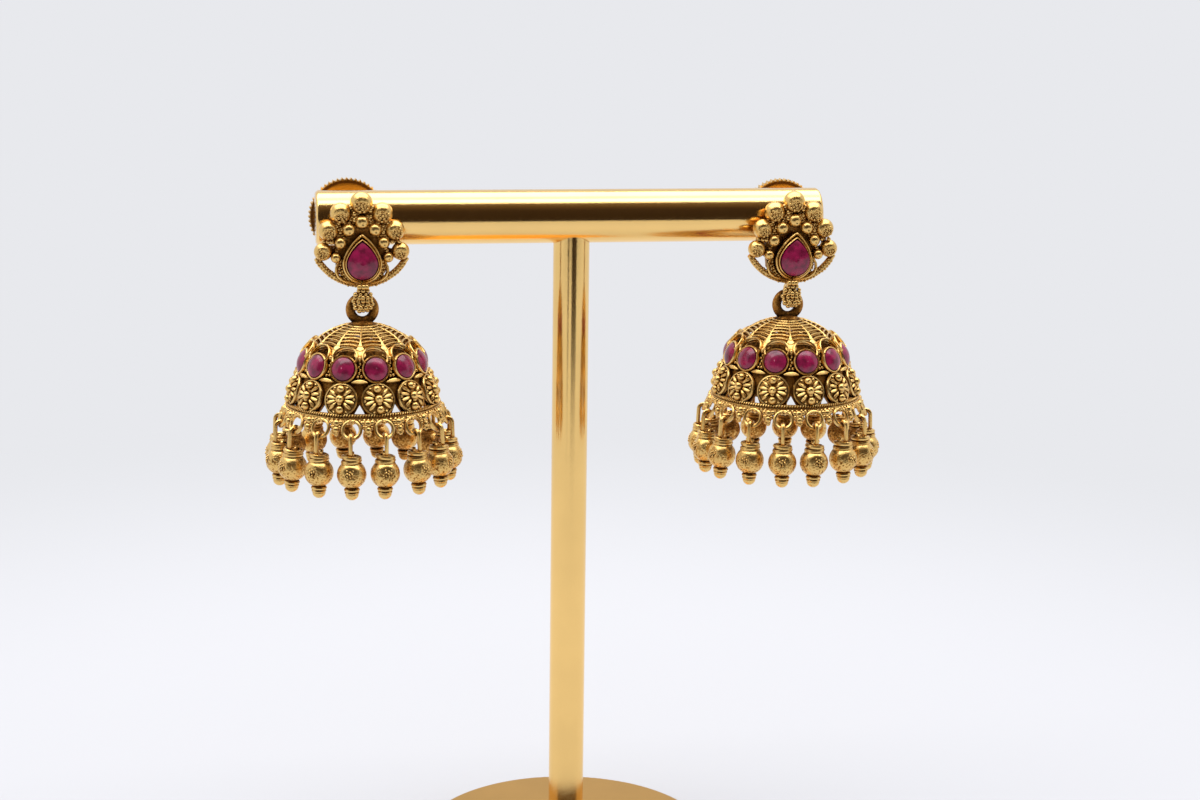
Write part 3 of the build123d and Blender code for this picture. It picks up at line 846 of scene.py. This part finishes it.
def settle(piece, side, metal, body, replaced, angle):
    """Bring a finished piece from its drawing frame to its place, attach it to its body, and hide the
    imported part that it replaces.
    """
    def rubbed(vertex):
        """Painted light where a place faces outwards, from the front of a stud or from outside a bell, and
        painted shade where it faces away.
        """
        if body == "stand":
            outward = -Y_AXIS
        else:
            outward = Vector((vertex.co.x, vertex.co.y, 0)).normalized()
        return share_between(-0.75, -0.15, vertex.normal.dot(outward))

    # Painted light and shade by which way each face turns, stored for the antique material.
    marked(piece, "rubbed", rubbed)
    transformed(piece, Matrix.Translation(HANG_POINT[side]) @ Matrix.Scale(MM, 4))
    painted(piece, finish(metal))
    smoothed(piece, angle)
    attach(piece, body)
    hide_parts(replaced)
    return piece


# ---- Drops ---------------------------------------------------------------------------------------
LEANS = [1.5, -2.5, 0.5, 0.5, -1.5, 2.0, 2.5, 0.0, 1.0, -0.5, 2.0, -1.5, 0.5, 1.5, -1.0, 0.0]
LEAN_IN = 2.2                   # degrees that every drop hangs in towards the bell's axis
BALL_CENTRE = -4.2


def make_link():
    """Long wire link from the loop down into the collar."""
    half_width, wire, top, foot, steps = 0.58, 0.25, 0.52, -2.2, 9
    points = []
    for first_turn, middle in ((0, top - half_width), (pi, foot + half_width)):
        for step in range(steps + 1):
            turn = first_turn + pi * step / steps
            points.append(Vector((0, half_width * cos(turn), middle + half_width * sin(turn))))
    return bent_wire(points, [wire] * len(points), X_AXIS, closed=True)


def make_drop():
    """One drop, hanging from the middle of the loop wire that carries it, and facing -Y."""
    sizes = bpy.context.scene.jhumka_drop
    radius, dish = sizes.ball / MM, sizes.dish / MM
    dish_height, dish_reach = 0.2, 1.05
    # Columns: height, radius, wire, tilt in degrees.
    rows = [(-2.2, 0.93, 0.27, 5), (-2.64, 0.98, 0.26, -4), (-2.9, 1.1, 0.12, 2)]
    parts = [transformed(hoop(ring_radius, wire, 28, 8), shift(0, 0, height) @ spin(tilt, "Y"))
             for height, ring_radius, wire, tilt in rows]

    def hammered(point):
        """Where a point of the ball goes: a dish in front with a soft edge and a pitted floor."""
        distance = (point - Vector((0, -radius, dish_height))).length
        if distance < dish_reach:
            edge = 0.5 + 0.5 * cos(pi * distance / dish_reach)
            point *= 1 - edge / radius * (dish + 0.14 * noise.noise(point * 3.5))
        return point * (1 + 0.012 * noise.noise(point * 2.5 + Vector((7, 0, 0))))

    def pitted(vertex):
        """How pitted the casting is: below the ball's shoulder, and less behind."""
        across, up = vertex.co.y / radius, vertex.co.z / radius
        return share_between(0.62, 0.4, up - 0.2 * across) * (1 - 0.7 * share_between(0.0, 0.6, across))

    body = moved(ball(radius, 56, 36), hammered)
    # Columns: distance from the middle of the dish, turn in degrees, radius.
    rows = [(0.0, 0, 0.16), (0.32, 20, 0.14), (0.34, 85, 0.12), (0.3, 150, 0.15), (0.33, 215, 0.13),
            (0.31, 285, 0.15), (0.62, 50, 0.1), (0.6, 125, 0.11), (0.63, 190, 0.1), (0.6, 330, 0.1)]
    for reach, turn, grain in rows:
        place = Vector((reach * cos(radians(turn)), 0, dish_height + reach * sin(radians(turn))))
        place.y = 0.16 * (1 - reach) - sqrt(radius ** 2 - place.x ** 2 - place.z ** 2)
        parts.append(granule(grain, place + Z_AXIS * BALL_CENTRE, 1))
    parts.append(turned([(0, -2.05), (0.7, -2.1), (0.85, -2.3), (0.85, -3.2), (0, -3.3)], 20))
    parts.append(transformed(marked(body, "pitted", pitted), shift(0, 0, BALL_CENTRE)))
    # The ringed tip under the ball. Columns: radius, height.
    parts.append(turned([(0, -5.6), (0.6, -5.66), (0.66, -5.78), (0.88, -5.88), (0.94, -6.02), (0.88, -6.16),
                         (0.8, -6.2), (0.85, -6.28), (0.86, -6.42), (0.8, -6.5), (0.76, -6.54), (0.78, -6.64),
                         (0.72, -6.86), (0.56, -7.06), (0.32, -7.22), (0, -7.29)], 24))
    return [make_link()] + parts


def make_drops():
    """All the drops, copied from one pattern."""
    flare = radians(LOOP_FLARE)
    hang = shift(0, -LOOP_CENTRE_RADIUS - LOOP_RADIUS * sin(flare), LOOP_HEIGHT - LOOP_RADIUS * cos(flare))
    pattern = joined(make_drop(), "drop_pattern")
    for side in SIDES:
        for index, (turn, lean) in enumerate(zip(all_round(DROPS, DROP_ANGLE[side]), LEANS)):
            name = side + "_drop_" + str(index + 1).zfill(2)
            drop = copied(pattern, [turn @ hang @ spin(-LEAN_IN, "X") @ spin(-lean, "Y")])[0]
            drop.name = name + "_cast"
            settle(drop, side, "antique_gold", side + "_jhumka", name, 40.0)
    removed(pattern)


# ---- Stud ----------------------------------------------------------------------------------------
# Columns: sideways, height, radius.
LARGE_BEADS = [(0.0, 2.35, 1.36), (2.45, 1.13, 1.27), (3.9, -0.93, 1.2), (4.58, -3.42, 1.08)]
SMALL_BEADS = [(0.0, 0.12, 0.84), (1.55, -0.8, 0.81), (2.55, -2.35, 0.74), (3.1, -4.1, 0.62)]
LARGE_BEAD_LIFT = 1.6
SMALL_BEAD_LIFT = 2.1
PEAR_RADIUS = 2.2
PEAR_CENTRE = -4.85
PEAR_TIP = -1.4
PEAR_SHOULDER = 112             # degrees of the circle on each side, from the foot to the start of the side
PIERCINGS = [(3.62, -2.85, 0.45), (3.75, -5.05, 0.5)]


def both_sides(rows):
    """Rows of (sideways, height, radius), with every off-centre row repeated on the other side."""
    return rows + [(-x, y, radius) for x, y, radius in rows if x > 0]


def on_stud(x, y, lift):
    """Place on the stud: X to the right, Y up from the bar's axis, Z to the front from the plate's back."""
    return shift(x, STUD_BACK - lift, y) @ spin(90, "X")


def make_large_bead(radius):
    """Ball with a smooth top, and a low dish in its face that holds a ring of granules."""
    low = -0.2 * radius
    body = dimpled(ball(radius, 40, 26), (0, low, 0), 0.74 * radius, 0.24 * radius)
    centre = Vector((0, low, 0.8 * radius))
    marked(body, "pitted", lambda vertex: share_between(0.8, 0.6, (vertex.co - centre).length / radius))
    parts = [body]
    # Columns: distance from the middle of the dish, turn in degrees, radius, all for a ball of radius 1.
    rows = [(0.0, 0, 0.19)]
    rows += [(0.3, turn, 0.15) for turn in range(0, 360, 72)]
    rows += [(0.54, turn, 0.12) for turn in range(15, 360, 40)]
    for reach, turn, grain in rows:
        place = Vector((reach * cos(radians(turn)), reach * sin(radians(turn)), 0.72 + 0.12 * reach)) * radius
        parts.append(granule(grain * radius, place + Vector((0, low, 0))))
    return joined(parts, "large_bead")


def make_small_bead(radius):
    """Smooth ball with a small dark dimple low in its face, on a short stem."""
    body = dimpled(ball(radius, 32, 20), (0.1 * radius, -0.2 * radius, 0), 0.34 * radius, 0.2 * radius)
    foot = 0.3 - SMALL_BEAD_LIFT
    stem = turned([(0, foot), (0.6 * radius, foot), (0.6 * radius, 0), (0, 0)], 16)
    return joined([body, stem], "small_bead")


def pear_outline(inset):
    """Points round the pear from its foot: a circle, then a slightly convex side up to the tip, and back."""
    radius, round_steps, side_steps = PEAR_RADIUS - inset, 26, 12
    tip = Vector((0, PEAR_TIP - 1.9 * inset))
    points = []
    for step in range(round_steps + 1):
        turn = radians(-90 + PEAR_SHOULDER * step / round_steps)
        points.append(Vector((radius * cos(turn), PEAR_CENTRE + radius * sin(turn))))
    start = points[-1]
    heading = radians(PEAR_SHOULDER)
    chord = tip - start
    bend = Vector((cos(heading), sin(heading))).angle(chord)
    arc_radius = chord.length / (2 * sin(bend))
    for step in range(1, side_steps + 1):
        turn = bend * step / side_steps
        along = Vector((cos(heading + turn), sin(heading + turn)))
        points.append(start + along * (2 * arc_radius * sin(turn)))
    return points + [Vector((-point.x, point.y)) for point in reversed(points[1:-1])]


def make_pear_rim(inset, lift, half_width, half_height):
    """Smooth rim of oval section round the pear."""
    outline = pear_outline(inset)
    stations = []
    for index, point in enumerate(outline):
        along = (outline[(index + 1) % len(outline)] - outline[index - 1]).normalized()
        outward = Vector((along.y, -along.x, 0))
        stations.append((Vector((point.x, point.y, lift)), outward, Z_AXIS, half_width, half_height))
    return lofted(stations, closed=True)


def make_pear_cup():
    """Wall and floor of the pear setting."""
    cup = slab(pear_outline(0.02), 0.3, 2.12)
    bpy.ops.mesh.inset(thickness=0.35, depth=0)
    bpy.ops.transform.translate(value=(0, 0, -0.95))
    finish_edit()
    return cup


def arc_points(half_span, tip_height, foot_height, lift, steps):
    """Points along the arc through two tips and the foot between them."""
    rise = tip_height - foot_height
    radius = (half_span ** 2 + rise ** 2) / (2 * rise)
    half_turn = asin(half_span / radius)
    points = []
    for step in range(steps + 1):
        turn = half_turn * (2 * step / steps - 1)
        points.append(Vector((radius * sin(turn), foot_height + radius - radius * cos(turn), lift)))
    return points


def make_wing():
    """Granulated wire that hangs under the pear and ends in two blunt upturned tips."""
    arc = arc_points(5.1, -4.6, -7.42, 1.2, 30)
    points = [Vector((-5.45, -4.25, 1.25))] + arc + [Vector((5.45, -4.25, 1.25))]
    radii = [0.26, 0.36] + [0.41] * (len(points) - 4) + [0.36, 0.26]
    parts = [bent_wire(points, radii, Z_AXIS, sides=10)]
    shake = Random(3)
    for before, after in zip(arc, arc[1:]):
        along = (after - before).normalized()
        across = Vector((-along.y, along.x, 0))
        for share, side in ((0.0, 0.25), (0.0, -0.25), (0.5, 0.02)):
            place = before.lerp(after, share) + across * (side + shake.uniform(-0.05, 0.05)) + Z_AXIS * 0.3
            parts.append(granule(shake.uniform(0.16, 0.21), place, 1))
    return parts


def make_leaf_rims():
    """Smooth crescent leaves that cup the pear, with granules between them and its bezel."""
    # Columns: sideways, height, radius.
    edge = [(2.75, -4.7, 0.12), (3.02, -5.3, 0.18), (3.05, -5.9, 0.21), (2.8, -6.45, 0.21),
            (2.25, -6.9, 0.21), (1.4, -7.2, 0.2), (0.5, -7.3, 0.14)]
    radii = [radius for _, _, radius in edge]
    parts = []
    shake = Random(9)
    for side in (-1, 1):
        parts.append(bent_wire([Vector((side * x, y, 1.6)) for x, y, _ in edge], radii, Z_AXIS))
        # Eleven steps of 9 degrees down the pear, each with an outer and an inner granule.
        for step in range(11):
            turn = radians(5 - step * 9)
            for gap in (0.58, 0.3):
                reach = PEAR_RADIUS + gap
                place = Vector((side * reach * cos(turn), PEAR_CENTRE + reach * sin(turn),
                                1.35 + shake.uniform(-0.1, 0.1)))
                parts.append(granule(shake.uniform(0.22, 0.3), place, 1))
    return parts


def make_back_plate():
    """Pierced web behind the beads."""
    outline = [(x, y) for x, y, _ in LARGE_BEADS] + [(3.1, -4.7), (3.0, -5.8), (2.4, -6.6), (1.3, -7.1)]
    outline += [(-x, y) for x, y in reversed(outline[1:])]
    plate = slab(outline, 0, 0.7)
    finish_edit()
    for x, y, radius in PIERCINGS:
        for side in (-1, 1):
            leave_edit()
            bpy.ops.mesh.primitive_cylinder_add(vertices=16, radius=radius, depth=4,
                                                location=(side * x, y, 0))
            punch = bpy.context.object
            cut = plate.modifiers.new("gap", "BOOLEAN")
            cut.object = punch
            cut.operation = "DIFFERENCE"
            chosen(plate)
            bpy.ops.object.modifier_apply(modifier="gap")
            removed(punch)
    return plate


def outside(point, start, end):
    """How far a point, or its mirror image, lies out over the line through two beads of the arc."""
    along = (Vector(end[:2]) - Vector(start[:2])).normalized()
    offset = Vector((abs(point.x), point.y)) - Vector(start[:2])
    return offset.dot(Vector((-along.y, along.x)))


def filler_places():
    """Places of the granules that fill the web between the beads, clear of the pear and the gaps."""
    def clearance(point, circles):
        """Distance from a point to the nearest of some circles."""
        return min((point - Vector((x, y))).length - radius for x, y, radius in circles)

    large, small, gaps = both_sides(LARGE_BEADS), both_sides(SMALL_BEADS), both_sides(PIERCINGS)
    pear = pear_outline(-0.25)
    places = []
    for row in range(17):
        for column in range(-12, 13):
            point = Vector(((column + row % 2 / 2) * 0.42, 2.6 - row * 0.37))
            to_large = clearance(point, large)
            to_pear = min((point - edge).length for edge in pear)
            over_arc = max(outside(point, start, end) for start, end in zip(LARGE_BEADS, LARGE_BEADS[1:]))
            inside = point.y < PEAR_TIP + 0.3 and abs(point.x) < max(
                edge.x for edge in pear if abs(edge.y - point.y) < 0.3)
            off_beads = min(to_large, clearance(point, small)) > -0.12
            off_gaps = clearance(point, gaps) > 0.18 and to_pear > 0.2 and not inside
            if off_beads and off_gaps and to_large < 0.95 and over_arc < 0.3:
                places.append(point)
    return places


def make_knob():
    """Cluster of granules on the bail, in front of the ring."""
    shake = Random(5)
    # Columns: height of the row, half its width, count.
    rows = [(-7.5, 0.45, 3), (-7.95, 0.55, 3), (-8.4, 0.85, 4), (-8.8, 0.95, 5), (-9.2, 1.02, 5),
            (-9.6, 1.02, 5), (-10.0, 0.85, 4), (-10.3, 0.5, 3)]
    parts = [transformed(ball(1.0, 20, 14), shift(0, -1.3, -9.1) @ Matrix.Diagonal((0.85, 0.6, 1.3, 1.0)))]
    for height, half_width, count in rows:
        for index in range(count):
            across = half_width * (2 * index / (count - 1) - 1) + shake.uniform(-0.05, 0.05)
            out = 1.5 + 0.42 * sqrt(max(1 - (across / 1.1) ** 2, 0)) + shake.uniform(-0.06, 0.06)
            parts.append(granule(shake.uniform(0.24, 0.36), (across, -out, height)))
    return parts


def make_post(side):
    """Post behind a stud's plate, in line with the nut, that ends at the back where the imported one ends."""
    radius, front = 0.5, STUD_BACK - 0.3
    nut = (middle_of(side + "_screw_nut") - HANG_POINT[side]) / MM
    length = (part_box(side + "_stud")[1].y - HANG_POINT[side].y) / MM - front
    post = turned([(0, 0), (radius, 0), (radius, length - 0.15), (radius - 0.12, length), (0, length)], 20)
    return transformed(post, shift(nut.x, front, nut.z) @ spin(-90, "X"))


def make_studs():
    """Both studs, each in groups of one finish."""
    for side in SIDES:
        shake = Random(11)
        front = shift(STUD_SHIFT[side], 0, 0)
        face = front @ on_stud(0, 0, 0)
        beads = []
        for x, y, radius in both_sides(LARGE_BEADS):
            turn = Matrix.Rotation(shake.uniform(-0.6, 0.6), 4, "Z")
            beads.append(transformed(make_large_bead(radius), front @ on_stud(x, y, LARGE_BEAD_LIFT) @ turn))
        for point in filler_places():
            place = front @ on_stud(point.x, point.y, shake.uniform(1.6, 2.15))
            beads.append(transformed(granule(shake.uniform(0.24, 0.34)), place))
        beads += [transformed(part, face) for part in make_wing()]
        smooth = [transformed(make_small_bead(radius), front @ on_stud(x, y, SMALL_BEAD_LIFT))
                  for x, y, radius in both_sides(SMALL_BEADS)]
        setting = face @ shift(0, PEAR_CENTRE, 0) @ spin(PEAR_TURN[side]) @ shift(0, -PEAR_CENTRE, 0)
        # Columns: inset, lift, half width, half height.
        for row in ((0.0, 2.4, 0.16, 0.2), (0.27, 2.64, 0.11, 0.24)):
            smooth.append(transformed(make_pear_rim(*row), setting))
        smooth += [transformed(part, face) for part in make_leaf_rims()]
        web = [transformed(make_pear_cup(), setting), transformed(make_back_plate(), face), make_post(side)]
        bail = transformed(hoop(1.08, 0.35, 28, 10), shift(0, 0, BAIL_HEIGHT) @ spin(90, "Y"))
        groups = {
            "stud_beads": (beads, "antique_gold"),
            "stud_rims": (smooth, "rubbed_gold"),
            # The cup, plate and post behind the beads are darker metal: patina and painted shade.
            "stud_web": (web, "oxidised_and_shaded_gold"),
            "stud_knob": (make_knob() + [bail], "antique_gold"),
        }
        for name, (parts, metal) in groups.items():
            settle(joined(parts, side + "_" + name), side, metal, "stand", side + "_stud", 45.0)


# ---- Operators -----------------------------------------------------------------------------------
class JHUMKA_OT_stand(bpy.types.Operator):
    """Finish the base, the upright and the cross bar"""
    bl_idname = "jhumka.stand"
    bl_label = "Stand"

    def execute(self, context):
        for name, metal in (("base_disc", "satin_gold_plate"), ("upright", "polished_gold_plate"),
                            ("cross_bar", "polished_gold_plate")):
            painted(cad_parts[name], finish(metal))
        return {"FINISHED"}


class JHUMKA_OT_stones(bpy.types.Operator):
    """Finish the round and the pear cabochons"""
    bl_idname = "jhumka.stones"
    bl_label = "Stones"

    def execute(self, context):
        for side in SIDES:
            painted(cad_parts[side + "_round_stones"], finish("ruby_glass"))
            painted(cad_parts[side + "_pear_stone"], finish("ruby_glass"))
        return {"FINISHED"}


class JHUMKA_OT_nuts(bpy.types.Operator):
    """Finish the screw nuts behind the bar"""
    bl_idname = "jhumka.nuts"
    bl_label = "Screw nuts"

    def execute(self, context):
        for side in SIDES:
            painted(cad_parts[side + "_screw_nut"], finish(side + "_nut_gold"))
        return {"FINISHED"}


class JHUMKA_OT_bells(bpy.types.Operator):
    """Model the pierced dome, bezels, rosettes and rim of both bells"""
    bl_idname = "jhumka.bells"
    bl_label = "Bells"

    def execute(self, context):
        make_bells()
        return {"FINISHED"}


class JHUMKA_OT_drops(bpy.types.Operator):
    """Model the drops round both bells"""
    bl_idname = "jhumka.drops"
    bl_label = "Drops"

    def execute(self, context):
        make_drops()
        return {"FINISHED"}


class JHUMKA_OT_studs(bpy.types.Operator):
    """Model the beads, pear setting, wings and bail of both studs"""
    bl_idname = "jhumka.studs"
    bl_label = "Studs"

    def execute(self, context):
        make_studs()
        return {"FINISHED"}


class JHUMKA_OT_stage(bpy.types.Operator):
    """Add the floor, the light and the camera"""
    bl_idname = "jhumka.stage"
    bl_label = "Stage"

    def execute(self, context):
        settings = context.scene.jhumka_stage
        add_world(settings)
        add_floor(settings)
        add_lamps(settings)
        add_camera()
        return {"FINISHED"}


# ---- Stage ---------------------------------------------------------------------------------------
BOX_HEIGHT = 0.55               # this and the other sizes of the lamps and cards are in metres
BOX_WIDTH = 0.9
CARD_Y = -0.31


def add_world(settings):
    """Even light from a pale studio."""
    world = bpy.data.worlds.new("pale_studio")
    world.use_nodes = True
    background = world.node_tree.nodes["Background"].inputs
    background["Color"].default_value = settings.backdrop
    background["Strength"].default_value = 1.0
    bpy.context.scene.world = world


def add_floor(settings):
    """Round matt paper floor that fades into the background away from the stand."""
    leave_edit()
    bpy.ops.mesh.primitive_circle_add(vertices=96, radius=3.0, fill_type="NGON")
    floor = bpy.context.object
    floor.name = "floor"
    material, tree = new_material("matt_paper")
    paper = node(tree, "ShaderNodeBsdfPrincipled",
                 {"Base Color": settings.floor, "Roughness": 0.9, "Specular IOR Level": 0.1})
    place = node(tree, "ShaderNodeTexCoord").outputs["Object"]
    reach = node(tree, "ShaderNodeVectorMath", {"operation": "LENGTH"}, {0: place}).outputs["Value"]
    # The paper shows out to 90 mm, and is the plain background from 260 mm on.
    fade = node(tree, "ShaderNodeMapRange",
                {"interpolation_type": "SMOOTHSTEP", "From Min": 90 * MM, "From Max": 260 * MM},
                {"Value": reach})
    rays = node(tree, "ShaderNodeLightPath").outputs
    seen = rays["Is Camera Ray"]
    for ray in ("Is Glossy Ray", "Is Transmission Ray"):
        seen = node(tree, "ShaderNodeMath", {"operation": "ADD"}, {0: seen, 1: rays[ray]})
    share = node(tree, "ShaderNodeMath", {"operation": "MULTIPLY"}, {0: fade, 1: seen})
    glow = node(tree, "ShaderNodeEmission", {"Color": settings.backdrop, "Strength": 1.0})
    mixed = node(tree, "ShaderNodeMixShader", links={0: share, 1: paper, 2: glow})
    node(tree, "ShaderNodeOutputMaterial", links={"Surface": mixed})
    painted(floor, material)


def add_card(name, across, up, width, height):
    """Upright dark brown card in front of the stand, which only reflections see.

    Its colour is painted paler towards its top, as painted light from the lamps above, so the dark band that
    it gives the bar starts softly.
    """
    leave_edit()
    bpy.ops.mesh.primitive_plane_add(size=1.0)
    card = bpy.context.object
    card.name = name
    stretch = Matrix.Diagonal((width, height, 1.0, 1.0))
    card.data.transform(shift(across, CARD_Y, up) @ spin(90, "X") @ stretch)
    material, tree = new_material("dark_card")
    place = node(tree, "ShaderNodeTexCoord").outputs["Object"]
    level = node(tree, "ShaderNodeSeparateXYZ", links={"Vector": place}).outputs["Z"]
    # Painted light: the card pales towards its top.
    tint = node(tree, "ShaderNodeValToRGB", links={"Fac": level},
                stops=[(0.27, linear("#33281F")), (0.45, linear("#54432F")), (0.68, linear("#84684A"))])
    shader = node(tree, "ShaderNodeBsdfPrincipled", {"Roughness": 0.9, "Specular IOR Level": 0.0},
                  {"Base Color": tint})
    node(tree, "ShaderNodeOutputMaterial", links={"Surface": shader})
    painted(card, material)
    for ray in ("visible_camera", "visible_diffuse", "visible_shadow", "visible_transmission"):
        setattr(card, ray, False)


def add_lamps(settings):
    """Two overhead soft boxes with a weaker gap between them, and dark cards in front."""
    # Columns: name, distance behind the stand, depth, share of the power.
    for name, behind, depth, share in (("front_box", -0.115, 0.155, 0.33), ("gap_box", 0.02, 0.1, 0.1),
                                       ("back_box", 0.225, 0.31, 0.6)):
        bpy.ops.object.light_add(type="AREA", location=(0.0, behind, BOX_HEIGHT))
        box = bpy.context.object
        box.name = name
        box.data.shape = "RECTANGLE"
        box.data.size = BOX_WIDTH
        box.data.size_y = depth
        box.data.energy = settings.lamp * share
    # Columns: name, sideways, height of the centre, width, height.
    for row in (("front_card", 0.0, 0.3625, 1.4, 0.635), ("low_card", 0.055, 0.0225, 0.17, 0.045),
                ("side_card", -0.157, 0.0225, 0.045, 0.045)):
        add_card(*row)


CAMERA_PLACE = Vector((-41.38, -242.46, 113.16)) * MM
CAMERA_AIM = Vector((3.861, 0.0, 61.0)) * MM
CAMERA_ROLL = 0.78
FOCAL_LENGTH = 60.0
SENSOR_WIDTH = 36.0


def add_camera():
    """Camera in front of the stand, to its left and a little above the bar."""
    lens = bpy.data.cameras.new("camera")
    lens.lens = FOCAL_LENGTH
    lens.sensor_width = SENSOR_WIDTH
    lens.clip_start = 0.01
    lens.clip_end = 20.0
    camera = bpy.data.objects.new("camera", lens)
    bpy.context.collection.objects.link(camera)
    aim = (CAMERA_AIM - CAMERA_PLACE).to_track_quat("-Z", "Y").to_matrix().to_4x4()
    camera.matrix_world = Matrix.Translation(CAMERA_PLACE) @ aim @ spin(CAMERA_ROLL)
    bpy.context.scene.camera = camera


class JHUMKA_PT_panel(bpy.types.Panel):
    """Panel that lists the pieces"""
    bl_idname = "JHUMKA_PT_panel"
    bl_label = "Jhumka pair"
    bl_space_type = "VIEW_3D"
    bl_region_type = "UI"
    bl_category = "Jhumka"

    def draw(self, context):
        layout = self.layout
        for operator in OPERATORS:
            layout.operator(operator.bl_idname)


GROUPS = {"jhumka_finishes": JhumkaFinishes, "jhumka_bell": JhumkaBell, "jhumka_drop": JhumkaDrop,
          "jhumka_stage": JhumkaStage}
OPERATORS = [JHUMKA_OT_stand, JHUMKA_OT_nuts, JHUMKA_OT_stones, JHUMKA_OT_studs, JHUMKA_OT_bells,
             JHUMKA_OT_drops, JHUMKA_OT_stage]


def register():
    for group in GROUPS.values():
        bpy.utils.register_class(group)
    for name, group in GROUPS.items():
        setattr(bpy.types.Scene, name, bpy.props.PointerProperty(type=group))
    for operator in OPERATORS:
        bpy.utils.register_class(operator)
    bpy.utils.register_class(JHUMKA_PT_panel)


def unregister():
    bpy.utils.unregister_class(JHUMKA_PT_panel)
    for operator in reversed(OPERATORS):
        bpy.utils.unregister_class(operator)
    for name in GROUPS:
        delattr(bpy.types.Scene, name)
    for group in GROUPS.values():
        bpy.utils.unregister_class(group)


def main():
    register()
    leave_edit()
    bpy.context.scene.view_settings.view_transform = "Standard"
    bpy.ops.jhumka.stand()
    bpy.ops.jhumka.nuts()
    bpy.ops.jhumka.stones()
    bpy.ops.jhumka.studs()
    bpy.ops.jhumka.bells()
    bpy.ops.jhumka.drops()
    bpy.ops.jhumka.stage()


if __name__ == "__main__":
    main()
